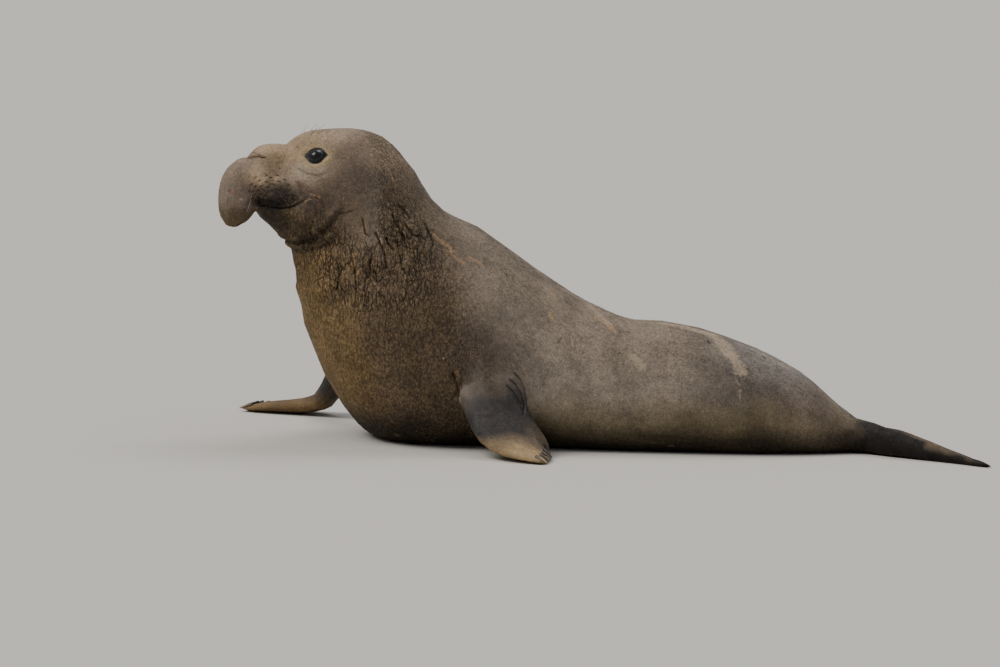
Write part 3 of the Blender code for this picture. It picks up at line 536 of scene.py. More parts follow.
def halve_faces(mesh, wanted):
    """Cuts each face whose corners all want it into four."""
    shape = bmesh.new()
    shape.from_mesh(mesh)
    edges = [edge for edge in shape.edges if all(wanted[vert.index] for vert in edge.verts)]
    bmesh.ops.subdivide_edges(shape, edges=edges, cuts=1, use_grid_fill=True)
    shape.to_mesh(mesh)
    shape.free()


for level in (1, 2):
    places = points_of(skin.data)
    straight = straighten(places)
    halve_faces(skin.data, fineness(straight, places) >= level)
print("after cutting finer:", len(skin.data.vertices), "points")

# %% [markdown]
# ## Carve the head
# Each point of the skin moves in or out by its distance to the lines. The upper lip hangs
# over the lower one and the cheek over the fold of the chin, so the upper side of a line
# swells while its bottom sinks. Sculpting by hand would do the same, but numbers can be
# repeated and changed.

# %% Carve the lines of the head, the ears and the nostrils
LINE_FADE = 0.10
PIT_DEPTH = 0.0030
PIT_SIZE = (0.0080, 0.0034)
PIT_LEANS = (radians(45), radians(-13))
WART_RISE = 0.0040
WART_WIDTH = 0.0075
HEAD_ENDS = (-1.42, -1.36)
OVER_LIP = (-0.002, 0.005)
PAD_EDGE = (0.35, 1.05)
EAR_RIM = (0.0015, 0.011, 0.006)
EAR_HOLE = (0.006, 0.0055)
TRUNK_ROUNDS = 6
NOSTRIL_DEPTH = 0.024
NOSTRIL_RADII = (0.013, 0.022, 0.024)
NOSTRIL_EDGE = (0.45, 1.05)
NOSTRIL_RIM = (0.0025, 1.35, 0.25)
NOSTRIL_LEAN = 0.4


def line_ends(along, first_fade=LINE_FADE, last_fade=LINE_FADE):
    """1 along a line and 0 at both of its ends."""
    return ramp(along, 0, first_fade) * ramp(1 - along, 0, last_fade)


def creases(straight, lines):
    """How far a set of lines moves each point: in at a line's bottom, out on its upper side."""
    total = np.zeros(len(straight))
    for _, line, depth, width, swell in lines:
        away, side, along = nearest_on_line(straight, line)
        above = away * np.where(side == 0, 1, side)
        total += line_ends(along) * (-depth * bump(away, width) + swell * bump(above - 2.2 * width, 1.6 * width))
    return total


def pit_share(straight):
    """1 in the pits that the whiskers grow from: short slits that lean back with the rows."""
    lean = PIT_LEANS[0] + (PIT_LEANS[1] - PIT_LEANS[0]) * ramp(straight[:, 0], -1.85, -1.70)
    deepest = np.zeros(len(straight))
    for x, z in PITS:
        offset_x, offset_z = straight[:, 0] - x, straight[:, 2] - z
        along = offset_x * np.cos(lean) + offset_z * np.sin(lean)
        across = offset_z * np.cos(lean) - offset_x * np.sin(lean)
        deepest = np.maximum(deepest, bump(np.hypot(along / PIT_SIZE[0], across / PIT_SIZE[1]), 1.0))
    return deepest


def face_carving(straight, trunk):
    """How far each point of the head moves out, from the lines of the face."""
    head_only = 1 - ramp(straight[:, 0], *HEAD_ENDS)
    total = head_only * ((1 - trunk) * creases(straight, FACE_LINES) + creases(straight, TRUNK_LINES))
    away, side, _ = nearest_on_line(straight, LIPS)
    over_lip = ramp(away * side, *OVER_LIP)
    total += PAD_RISE * (1 - trunk) * over_lip * (1 - ramp(from_spot(straight, *PAD), *PAD_EDGE))
    total -= PIT_DEPTH * pit_share(straight)
    for wart in BROW_WARTS:
        total += WART_RISE * head_only * bump(from_spot(straight, wart), WART_WIDTH)
    ear = from_spot(straight, EAR)
    rise, radius, width = EAR_RIM
    depth, hole = EAR_HOLE
    return total + head_only * (rise * bump(ear - radius, width) - depth * bump(ear, hole))


def mirrored(straight):
    """The points with both sides laid on the right one."""
    return straight * [1, 0, 1] + [0, 1, 0] * np.abs(straight)


def nostril_pull(straight):
    """How far each point goes up into a nostril."""
    away = np.sqrt((((mirrored(straight) - NOSTRIL) / NOSTRIL_RADII) ** 2).sum(axis=1))
    rise, radius, width = NOSTRIL_RIM
    return NOSTRIL_DEPTH * (1 - ramp(away, *NOSTRIL_EDGE)) - rise * bump(away - radius, width)


places = points_of(skin.data)
straight = straighten(places)
owner = nearest_parts(places)
nose = of_parts(["proboscis"]).astype(float)[:, None]
trunk = smoothed(nose, neighbour_mean(skin.data), SMOOTH_STEP, TRUNK_ROUNDS)[:, 0]
normals = normals_of(skin.data)
places = places + normals * face_carving(straight, trunk)[:, None]
pull = np.clip(nostril_pull(straight) * ramp(trunk, 0.2, 0.6), 0, None)
places[:, 2] += pull
places[:, 0] -= NOSTRIL_LEAN * pull
print("carved the head, deepest nostril point", round(float(pull.max()), 4))

# %% [markdown]
# ## The lids
# The eye of a seal is a large dark ball under soft, thick, dark lids that end in a point
# at each corner. The skin still runs over the ball here. Inside the opening it is pushed
# under the ball's surface, round the opening it is raised into a lid, and farther out it is
# left as it was. All of it is measured from the ball's own middle.

# %% Shape the lids round each ball
EYE_RADIUS = 0.045
EYE_FRONT = 0.12
OPENING = (0.0330, 0.0335)
AROUND_EYE = (0.075, 0.100)
LID_EDGE = 0.0026
LID_STARTS = (0.86, 1.04)
LID_ROLL = (0.0016, 1.20, 0.16)
LID_FADES = (1.24, 1.95)
LID_CORNERS = 0.20
BEHIND_BALL = -0.006
NO_EYE = 9.0


def eye_axes(middle, places, normals):
    """Axes along the opening, across it and out of the head, from the skin round the eye."""
    away = np.linalg.norm(places - middle, axis=1)
    out = normals[(away > AROUND_EYE[0]) & (away < AROUND_EYE[1])].mean(axis=0)
    out /= np.linalg.norm(out)
    along = np.array([-1.0, 0.0, 0.06])
    along -= out * (along @ out)
    along /= np.linalg.norm(along)
    across = np.cross(out, along)
    return along, across * (1 if across[2] > 0 else -1), out


def seen_from_eye(middle, places, normals):
    """Each point's place on the opening, its distance from the ball's middle and if it is in front.

    The place is 1 on the edge of the opening, less inside it, with a point at each corner.
    """
    offset = places - middle
    local = offset @ np.array(eye_axes(middle, places, normals)).T
    across, along = np.abs(local[:, 1] / OPENING[1]), np.abs(local[:, 0] / OPENING[0])
    corner = 1 + LID_CORNERS * bump(across, 0.42) * ramp(along, 0.85, 1.5)
    distance = np.linalg.norm(offset, axis=1)
    return np.sqrt((along / corner) ** 2 + across**2), distance, (distance < EYE_FRONT) & (local[:, 2] > 0)


eye_ring = np.full(len(places), NO_EYE)
for middle in eye_middles.values():
    ring, distance, front = seen_from_eye(middle, places, normals)
    height = BEHIND_BALL + (LID_EDGE - BEHIND_BALL) * ramp(ring, *LID_STARTS)
    height += LID_ROLL[0] * bump(ring - LID_ROLL[1], LID_ROLL[2])
    keep = ramp(ring, *LID_FADES)
    reach = (EYE_RADIUS + height) * (1 - keep) + distance * keep
    places[front] = (middle + (places - middle) / distance[:, None] * reach[:, None])[front]
    eye_ring[front] = ring[front]
put_points(skin.data, places)
print("lids shaped, points inside the openings:", int((eye_ring < 1).sum()))

# %% [markdown]
# ## Folds and unevenness of the body
# A bull's neck and chest are a thick shield of scarred hide that breaks into cracks as he
# turns, and behind the flipper the loose hide lies in short folds. The long cracks come
# from the lines, and everything between them is noise: it is stretched upwards on the
# shield, where the hide wrinkles as the neck bends, and broad and gentle elsewhere.

# %% Carve the body
THROAT_PIT = ((-1.581, 0.718), 0.0080, 0.014)
WRINKLED = ((-1.33, 0.88), (0.33, 0.27))
WRINKLE_DEPTH = 0.0078
WRINKLE_WIDTH = 0.13
SHIELD_EDGE = (-0.76, 0.20, -0.36, 0.22)
COAT_DEPTH = 0.002
FLOOR_TOUCH = 0.004
NOISE_STEP = 17.31
# scale along each axis, seed, octaves and height of each noise
NOISES = {"broad": ((4.2, 4.2, 4.2), 1, 2, 0.0042), "middle": ((15, 15, 13), 2, 2, 0.0012),
          "upright": ((30, 26, 9), 3, 3, 0.0026), "across": ((12, 14, 34), 4, 2, 0.0012)}
FURROW_NOISE = ((17, 13, 5), 7)
LIMB_CALM = 0.35


def shield_share(straight):
    """1 on the hide of the neck and chest, 0 on the head and behind the shoulder."""
    edge_x, edge_z, slope, width = SHIELD_EDGE
    behind = straight[:, 0] - (edge_x + (straight[:, 2] - edge_z) * slope)
    below_head = 1 - ramp(straight[:, 2] + 0.55 * (straight[:, 0] + 1.5), 0.93, 1.13)
    nape = ramp(straight[:, 0], -1.40, -1.24)
    off_trunk = 1 - ramp(-straight[:, 0], 1.69, 1.74)
    return (1 - ramp(behind, -width / 2, width)) * np.maximum(below_head, nape) * off_trunk


def wrinkled_share(straight):
    """1 where the neck bends and its hide wrinkles most."""
    return 1 - ramp(from_spot(straight, *WRINKLED), 0.55, 1.25)


def left_share(straight, inner=-0.15, outer=-0.30):
    """1 on the left side and 0 on the right."""
    return 1 - ramp(straight[:, 1], outer, inner)


def noise_at(points, scale, seed, octaves=2):
    """Smooth noise from about -1 to 1 at each point, with its own scale along each axis."""
    moved = points * np.array(scale) + seed * NOISE_STEP
    return np.array([noise.fractal(place, 1.0, 2.0, octaves) for place in moved.tolist()])


def body_carving(straight):
    """How far each point of the body moves out, from its lines and the pit of the throat."""
    spot, depth, width = THROAT_PIT
    pit = from_spot(straight, spot)
    below = ramp(spot[1] - straight[:, 2], 0, 0.02)
    return (creases(straight, NECK_LINES) + left_share(straight) * creases(straight, FLIPPER_LINES)
            + left_share(straight, -0.55, -0.62) * creases(straight, WRIST_LINES)
            - depth * bump(pit, width) + 0.0045 * bump(pit - 0.030, 0.012) * below)


def unevenness(straight, shield, in_limbs):
    """Noise over the whole seal, strongest on the shield and least on the limbs."""
    broad, middle, upright, across = (noise_at(straight, scale, seed, octaves) * size
                                      for scale, seed, octaves, size in NOISES.values())
    furrows = bump(noise_at(straight, *FURROW_NOISE), WRINKLE_WIDTH)
    upright -= WRINKLE_DEPTH * furrows * (0.25 + 0.75 * wrinkled_share(straight))
    before_neck = np.clip(HEAD_ENDS[1] - straight[:, 0], 0, None)
    calm = np.where(in_limbs, LIMB_CALM, 1.0) * (1 - 0.75 * bump(before_neck - 0.4, 0.35))
    return calm * (broad + middle) + shield * (upright + across)


limbs = of_parts(FORE_PARTS + HIND_PARTS)
shield = shield_share(straight) * ~limbs
off_eyes = 1 - bump(eye_ring, 1.6)
moves = body_carving(straight) * (1 - trunk) + unevenness(straight, shield, limbs) * off_eyes
places = places + normals_of(skin.data) * (moves - COAT_DEPTH * off_eyes)[:, None]
places[:, 2] = np.where(places[:, 2] < FLOOR_TOUCH, 0.0, places[:, 2])
put_points(skin.data, places)
print("body carved, moves from", round(float(moves.min()), 4), "to", round(float(moves.max()), 4))

# %% [markdown]
# ## Spend the faces where they count
# The skin is thinned to about 192,000 triangles. The piece may hold less than 200,000
# triangles. The Decimate modifier joins neighbouring faces where the surface is flattest.
# A vertex group tells it how freely it may do so: not at all near eyes, lips and nostrils,
# a little on the head and hands, and freely on the flank, whose fine grain comes from the
# material.

# %% Thin the mesh by region
MOST_TRIANGLES = 192000
FREEDOM = {"fine": 0.0, "head": 0.55, "hands": 0.75, "shield": 0.90, "body": 1.0}
FREEDOM_FACTOR = 0.6
HAND_TOP = 0.12
ON_SHIELD = 0.4


def thin_skin(obj, freedom, triangles):
    group = obj.vertex_groups.new(name="freedom")
    for value in np.unique(freedom):
        group.add(np.flatnonzero(freedom == value).tolist(), float(value), "REPLACE")
    count = sum(len(face.vertices) - 2 for face in obj.data.polygons)
    fewer = obj.modifiers.new("fewer", "DECIMATE")
    fewer.ratio = min(1.0, triangles / count)
    fewer.vertex_group = group.name
    fewer.vertex_group_factor = FREEDOM_FACTOR
    fewer.use_collapse_triangulate = True
    baked(obj)
    obj.vertex_groups.clear()
    return count


freedom = np.full(len(places), FREEDOM["body"])
for name, chosen in (("shield", shield > ON_SHIELD), ("head", of_parts(HEAD_PARTS)),
                     ("hands", limbs & (places[:, 2] < HAND_TOP)), ("fine", fineness(straight, places) > 0)):
    freedom[chosen] = FREEDOM[name]
before = thin_skin(skin, freedom, MOST_TRIANGLES)
places = points_of(skin.data)
places[:, 2] = np.maximum(places[:, 2], 0.0)
put_points(skin.data, places)
print("triangles:", before, "->", len(skin.data.polygons))

# %% [markdown]
# ## The coat's colours
# The head is tan, golden round the eyes, nearly black on the whisker pads. The shield is
# dark brown, golden on the throat, the flanks are grey-brown, the hands golden and the hind
# flippers almost black. Part of it is painted light and shade: the throat's gold is partly
# painted light where it faces forward, the nape is paler as painted light where it faces up,
# the hump has a painted highlight and the rump's top edge a painted sheen, and the jaw, the
# underside of the chin roll and the belly near the floor are darkened as painted shade, as
# the forearm partly is. Each zone is a named colour with a soft ball of influence on the
# straight seal, and noise bends the balls so that no edge is a circle. The result is kept
# as a colour attribute, which the skin and the hairs both read.

# %% Name the colours and the zones
COAT = {
    "flank": (0.255, 0.212, 0.172), "back": (0.205, 0.160, 0.118), "belly": (0.215, 0.168, 0.094),
    # The under colour is painted shade under the body near the floor.
    "under": (0.022, 0.017, 0.010), "rump": (0.086, 0.071, 0.062), "shield": (0.122, 0.086, 0.054),
    # The nape's pale colour is painted light where the shield faces up.
    # The ridge's pale colour is a painted sheen on the rump's top edge.
    # The throat's gold is partly painted light where the hide faces forward.
    "throat": (0.212, 0.138, 0.058), "ridge": (0.300, 0.275, 0.245), "nape": (0.245, 0.185, 0.130),
    # The forearm's near black is partly painted shade from the chest above it.
    "head": (0.232, 0.172, 0.122), "forearm": (0.034, 0.031, 0.031), "hand back": (0.130, 0.100, 0.080),
    "fore_flipper_left": (0.315, 0.222, 0.120), "fore_flipper_right": (0.160, 0.104, 0.050),
    "hind": (0.011, 0.009, 0.008), "hind rim": (0.160, 0.112, 0.070), "lids": (0.010, 0.010, 0.012),
    # The darkest colour is painted shade at the bottoms of creases and in pits.
    "nostril": (0.010, 0.008, 0.007), "painted shade in creases and pits": (0.009, 0.007, 0.005),
}
# zone, colour, middle (x, how far out, z), radii, how soft its edge is, greatest share
ZONES = [
    ("dark of the shoulder", (0.088, 0.067, 0.053), (-0.78, 0.5, 0.46), (0.2, 0.25, 0.13), 0.7, 0.8),
    ("side of the head", (0.118, 0.092, 0.074), (-1.38, 0.28, 1.23), (0.14, 0.16, 0.15), 0.7, 0.75),
    ("cheek", (0.096, 0.069, 0.052), (-1.5, 0.27, 1.12), (0.15, 0.14, 0.12), 0.6, 0.85),
    ("jowl", (0.1, 0.068, 0.042), (-1.55, 0.22, 1.0), (0.14, 0.2, 0.07), 0.6, 0.85),
    # The jaw's near black is painted shade below the mouth.
    ("jaw", (0.018, 0.012, 0.007), (-1.72, 0.08, 1.02), (0.13, 0.16, 0.07), 0.5, 0.95),
    ("forehead", (0.31, 0.228, 0.14), (-1.6, 0.06, 1.4), (0.15, 0.2, 0.075), 0.6, 0.85),
    ("nose bridge", (0.262, 0.182, 0.112), (-1.7, 0.08, 1.31), (0.1, 0.14, 0.08), 0.6, 0.85),
    # A painted highlight on the top of the hump.
    ("hump", (0.345, 0.25, 0.158), (-1.75, 0.0, 1.36), (0.09, 0.13, 0.045), 0.6, 0.9),
    ("trunk", (0.185, 0.145, 0.118), (-1.91, 0.0, 1.17), (0.11, 0.16, 0.16), 0.5, 0.9),
    ("trunk front", (0.27, 0.205, 0.15), (-1.95, 0.0, 1.26), (0.07, 0.12, 0.09), 0.7, 0.6),
    ("trunk tip", (0.085, 0.06, 0.034), (-1.91, 0.0, 1.01), (0.1, 0.16, 0.07), 0.5, 0.9),
    ("below the eye", (0.34, 0.28, 0.208), (-1.6, 0.21, 1.248), (0.09, 0.1, 0.045), 0.6, 0.8),
    ("gold round the eye", (0.4, 0.3, 0.16), (-1.575, 0.22, 1.318), (0.066, 0.1, 0.048), 0.45, 0.9),
    ("top of the pad", (0.43, 0.318, 0.206), (-1.8, 0.12, 1.206), (0.074, 0.11, 0.04), 0.6, 0.85),
    ("whisker pad", (0.012, 0.01, 0.0085), (-1.692, 0.14, 1.126), (0.122, 0.16, 0.06), 0.55, 0.96),
    ("upper lip", (0.007, 0.0055, 0.0045), (-1.74, 0.12, 1.09), (0.095, 0.14, 0.026), 0.4, 0.97),
    ("rear of the rump", (0.235, 0.18, 0.14), (0.8, 0.2, 0.2), (0.16, 0.4, 0.12), 0.8, 0.55),
    ("crown", (0.27, 0.205, 0.15), (-1.44, 0.05, 1.44), (0.13, 0.2, 0.06), 0.7, 0.7),
    # Painted shade under the roll of the chin.
    ("under the chin", (0.04, 0.028, 0.016), (-1.62, 0.12, 0.928), (0.13, 0.22, 0.036), 0.6, 0.55),
    ("golden forehead edge", (0.3, 0.225, 0.15), (-1.22, 0.16, 1.31), (0.14, 0.2, 0.05), 0.7, 0.5),
]
HAND_HEIGHTS = (0.045, 0.115)
HAND_BACK_FROM = (-0.80, -0.70)
ROOT_BLEND = 0.05
ROOT_REACH = 0.3
HIND_FROM = (0.93, 1.06)
LID_DARK = (1.28, 1.48)
# lines, how dark the painted shade at their bottoms is, and where it is painted
SHADED_LINES = [(FACE_LINES[:1], 1.0, "front"), (FACE_LINES[1:2], 0.55, "front"), (TRUNK_LINES, 0.6, "head"),
              (FACE_LINES[2:], 0.4, "face"), (NECK_LINES, 0.9, "all"), (FLIPPER_LINES, 0.85, "left")]
print("colours:", len(COAT), " zones:", len(ZONES))


# %% Paint the body and the head
def zone_share(straight, warp, middle, radii, softness):
    away = np.linalg.norm((mirrored(straight) - np.array(middle)) / np.array(radii), axis=1) + warp
    return 1 - ramp(away, 1 - softness, 1 + softness)


def blend(values, goal, share):
    return values + (np.array(goal) - values) * np.asarray(share)[:, None]


def paint(color, share):
    """Lays a colour over the coat, as strongly as the share says at each point."""
    coat[:] = blend(coat, COAT.get(color, color), share)


places = points_of(skin.data)
straight = straighten(places)
normals = normals_of(skin.data)
owner = nearest_parts(places)
limb_masks = {name: of_parts([name]) for name in FORE_PARTS + HIND_PARTS}
warp = 0.22 * noise_at(straight, (22, 22, 22), 5, 3)
wide_warp = noise_at(straight, (6, 6, 6), 6, 3)
upward, height = normals[:, 2], places[:, 2]
shield = shield_share(straight) * ~of_parts(FORE_PARTS + HIND_PARTS)
wrinkled = wrinkled_share(straight)
face = (1 - ramp(straight[:, 0] + 0.03 * wide_warp, -1.42, -1.30)) * (1 - shield)
warped_x = straight[:, 0] + 0.10 * wide_warp

coat = np.tile(np.array(COAT["flank"]), (len(places), 1))
paint("back", ramp(upward, 0.25, 0.85) * 0.8)
paint("rump", ramp(warped_x, 0.05, 0.50) * 0.85)
# A painted sheen: the rump's top edge is paler where it faces up.
paint("ridge", ramp(upward, 0.55, 0.95) * ramp(warped_x, 0.25, 0.60) * 0.7)
paint("belly", (1 - ramp(height + 0.05 * wide_warp, 0.12, 0.28)) * 0.85)
paint("shield", shield)
coat *= 1 + 0.45 * (shield * wrinkled)[:, None]
# Paler where the shield faces up: painted light from above.
paint("nape", shield * ramp(upward, 0.25, 0.8) * 0.75)
# Golden where the hide faces forward: partly the throat's own gold and partly painted light from the lamp on the left.
paint("throat", shield * ramp(-normals[:, 0] + 0.15 * wide_warp, 0.15, 0.85))
# Nearly black near the floor: painted shade under the body.
paint("under", 1 - ramp(height + 0.04 * wide_warp, 0.05, 0.20))
paint("head", face)
for name, color, middle, radii, softness, most in ZONES:
    paint(color, most * zone_share(straight, warp, middle, radii, softness))
print("mean colour:", np.round(coat.mean(axis=0), 3))

# %% Paint the flippers, the lids and the lines
for name in FORE_PARTS:
    on_limb = limb_masks[name].astype(float)
    low = on_limb * (1 - ramp(height + 0.02 * wide_warp, *HAND_HEIGHTS))
    # Dark partly by the forearm's own colour and partly as painted shade from the chest above it.
    paint("forearm", on_limb * (1 - bump(distance_to(places, ["chest", "neck"], ROOT_REACH), ROOT_BLEND)) ** 0.5)
    paint(name, low)
    paint("hand back", low * ramp(places[:, 1], *HAND_BACK_FROM) * (places[:, 1] < 0))
hind_share = np.maximum(of_parts(HIND_PARTS), ramp(straight[:, 0] + 0.05 * wide_warp, *HIND_FROM))
paint("hind", hind_share)
rim = hind_share * ramp(upward, 0.62, 0.95) * ramp(places[:, 0], 1.12, 1.30) * (1 - ramp(places[:, 0], 1.46, 1.56))
paint("hind rim", 0.75 * rim)
eye_ring = np.full(len(places), NO_EYE)
for middle in eye_middles.values():
    ring, _, front = seen_from_eye(middle, places, normals)
    eye_ring[front] = ring[front]
lids = 1 - ramp(eye_ring, *LID_DARK)
paint("lids", lids)
# Painted shade, darker the deeper a point lies in the nostril.
nostril_shade = ramp(nostril_pull(straight), 0.004, 0.014) * (straight[:, 0] < -1.80)
paint("nostril", nostril_shade)


def line_shade(straight):
    """How dark the painted shade at the bottom of the nearest line is at each point."""
    in_head = straight[:, 0] < -1.42
    where = {"front": in_head * ramp(straight[:, 0], -1.835, -1.790), "head": in_head,
             "face": straight[:, 0] < FACE_ENDS, "all": 1, "left": left_share(straight)}
    total = np.zeros(len(straight))
    for lines, most, kept in SHADED_LINES:
        for _, line, _, width, _ in lines:
            away, _, along = nearest_on_line(straight, line)
            dark = most * where[kept] * line_ends(along, 0.12, 0.30) * bump(away, 0.9 * width)
            total = np.maximum(total, dark)
    return total


# Painted shade at the bottoms of the lines and in the whisker pits.
paint("painted shade in creases and pits", line_shade(straight))
paint("painted shade in creases and pits", 0.9 * pit_share(straight))
print("lids painted, points:", int((lids > 0.5).sum()))

# %% Keep the colours and the shares on the mesh
KINDS = {1: ("FLOAT", "value"), 3: ("FLOAT_VECTOR", "vector"), 4: ("FLOAT_COLOR", "color")}


def put_values(mesh, name, values):
    """Keeps a number, a vector or a colour for each point as an attribute of the mesh."""
    rows = np.asarray(values, np.float32).reshape(len(mesh.vertices), -1)
    kind, key = KINDS[rows.shape[1]]
    home = mesh.color_attributes if key == "color" else mesh.attributes
    home.new(name, kind, "POINT").data.foreach_set(key, rows.ravel())


hide = shield * (1 - 0.5 * face)
cheek = zone_share(straight, warp, (-1.45, 0.25, 1.12), (0.28, 0.2, 0.24), 0.6)
golden = np.clip(0.25 + 0.75 * shield + 0.5 * cheek, 0, 1) * (1 - np.clip(hind_share + lids, 0, 1))
bare = np.clip(of_parts(FORE_PARTS) * ramp(height, 0.09, 0.16) + hind_share, 0, 1)
put_values(skin.data, "coat_color", np.column_stack([coat, np.ones(len(coat))]))
for name, values in (("hide", hide), ("creased", hide * (0.15 + 0.85 * wrinkled)), ("golden", golden),
                     ("bare", bare), ("lids", lids)):
    put_values(skin.data, name, values)
print("attributes:", [found.name for found in skin.data.attributes if not found.name.startswith(".")])

# %% [markdown]
# ## Find a place on the finished skin
# Scars, whiskers and brow hairs are given by where they are on a side view of the straight
# seal. A ray is shot at the straightened skin from that side, and the point that it hits is
# carried back to the swayed skin by its place in the face that was hit.

# %% Shoot rays at the straightened skin
skin.data.calc_loop_triangles()
corners = read(skin.data.loop_triangles, "vertices", 3, np.int32)
straight_tree = BVHTree.FromPolygons(straight.tolist(), corners.tolist())
RAY_START = 1.5
PAST_THE_TOP = 0.05


def share_of_corners(point, triangle):
    """How much each corner of a triangle counts at a point inside it."""
    a, b, c = (Vector(corner) for corner in triangle)
    whole = (b - a).cross(c - a)
    first = (b - point).cross(c - point).dot(whole)
    second = (c - point).cross(a - point).dot(whole)
    size = whole.length_squared
    return np.array([first / size, second / size, 1 - (first + second) / size])


def on_skin(x, z, side):
    """The skin's point and its way out where a side view shows x and z, for side -1 or 1."""
    hit, _, face, _ = straight_tree.ray_cast(Vector((x, side * RAY_START, z)), Vector((0, -side, 0)))
    if face is None:
        hit, _, face, _ = straight_tree.find_nearest(Vector((x, side * PAST_THE_TOP, z)))
    shares = share_of_corners(hit, straight[corners[face]])
    out = shares @ normals[corners[face]]
    return shares @ places[corners[face]], out / np.linalg.norm(out)


print("left cheek is at", np.round(on_skin(-1.55, 1.2, -1)[0], 3))

# %% [markdown]
# ## Small tools for node trees
# Every finish below is a node tree. These helpers keep the lines short: one adds a node and
# sets or links its inputs by name, and the others add one kind of node each, in the tree of
# the value that they are given.

# %% Helpers for nodes
def put(tree, kind, inputs=None, **settings):
    node = tree.nodes.new(kind)
    for name, value in settings.items():
        setattr(node, name, value)
    set_inputs(node, inputs or {})
    return node


def tree_of(values):
    """The node tree that the first linked value belongs to."""
    return next(value.id_data for value in values if isinstance(value, bpy.types.NodeSocket))


def calculate(operation, *values):
    return put(tree_of(values), "ShaderNodeMath", dict(enumerate(values)), operation=operation).outputs[0]


def times(*values):
    return reduce(lambda first, second: calculate("MULTIPLY", first, second), values)


def plus(*values):
    return reduce(lambda first, second: calculate("ADD", first, second), values)


def less(first, second):
    return calculate("SUBTRACT", first, second)


def vector(operation, *values, **inputs):
    """A step of reckoning with vectors, which gives a vector or a number."""
    inputs = {**dict(enumerate(values)), **inputs}
    node = put(tree_of(inputs.values()), "ShaderNodeVectorMath", inputs, operation=operation)
    return node.outputs["Value" if operation in ("DOT_PRODUCT", "DISTANCE") else "Vector"]


def clamped(value):
    return put(value.id_data, "ShaderNodeClamp", {"Value": value}).outputs[0]


def mix(share, first, second, way="MIX"):
    inputs = {"Factor_Float": share, "A_Color": first, "B_Color": second}
    return put(tree_of(inputs.values()), "ShaderNodeMix", inputs, data_type="RGBA", blend_type=way).outputs[2]


def remap(value, low, high, new_low, new_high):
    inputs = {"Value": value, "From Min": low, "From Max": high, "To Min": new_low, "To Max": new_high}
    return put(value.id_data, "ShaderNodeMapRange", inputs, interpolation_type="SMOOTHSTEP").outputs[0]


def noise_of(place, scale, detail=3.0, roughness=0.6, output=0):
    inputs = {"Vector": place, "Scale": scale, "Detail": detail, "Roughness": roughness}
    return put(place.id_data, "ShaderNodeTexNoise", inputs).outputs[output]


def object_place(tree):
    return put(tree, "ShaderNodeTexCoord").outputs["Object"]


def relief(height, depth):
    return put(height.id_data, "ShaderNodeBump", {"Distance": depth, "Height": height}).outputs[0]


def new_group(name, inputs, outputs):
    """An empty node group with inputs and outputs of given kinds, and its two ends."""
    tree = bpy.data.node_groups.new(name, "ShaderNodeTree")
    for way, labels in (("INPUT", inputs), ("OUTPUT", outputs)):
        for label, kind in labels.items():
            tree.interface.new_socket(label, in_out=way, socket_type="NodeSocket" + kind)
    return tree, tree.nodes.new("NodeGroupInput").outputs, tree.nodes.new("NodeGroupOutput")


# %% [markdown]
# ## Scars and other marks
# Old fights leave pale scars. Each is a short line on the hide, so one node group serves
# them all: it measures how far a point is from a line between two places, makes that
# distance ragged with noise, and gives 1 on the scar and 0 off it.

# %% A node group that draws one mark
def mark_group():
    kinds = {"From": "Vector", "To": "Vector", "Width": "Float", "Ragged": "Float"}
    tree, (start, end, width, raggedness, _), result = new_group("line_mark", kinds, {"Share": "Float"})
    place = object_place(tree)
    ragged = times(less(noise_of(place, 55, 5, 0.75), 0.5), raggedness)
    way = vector("SUBTRACT", end, start)
    offset = vector("SUBTRACT", place, start)
    part = clamped(calculate("DIVIDE", vector("DOT_PRODUCT", offset, way), vector("DOT_PRODUCT", way, way)))
    away = vector("DISTANCE", offset, vector("SCALE", way, Scale=part))
    share = calculate("DIVIDE", less(width, plus(away, ragged)), times(width, 0.5))
    set_inputs(result, {"Share": clamped(share)})
    return tree


MARK = mark_group()
ORANGE = (0.40, 0.255, 0.145)
TAN = (0.365, 0.285, 0.212)
PALE = (0.42, 0.36, 0.31)
DARK = (0.020, 0.016, 0.013)
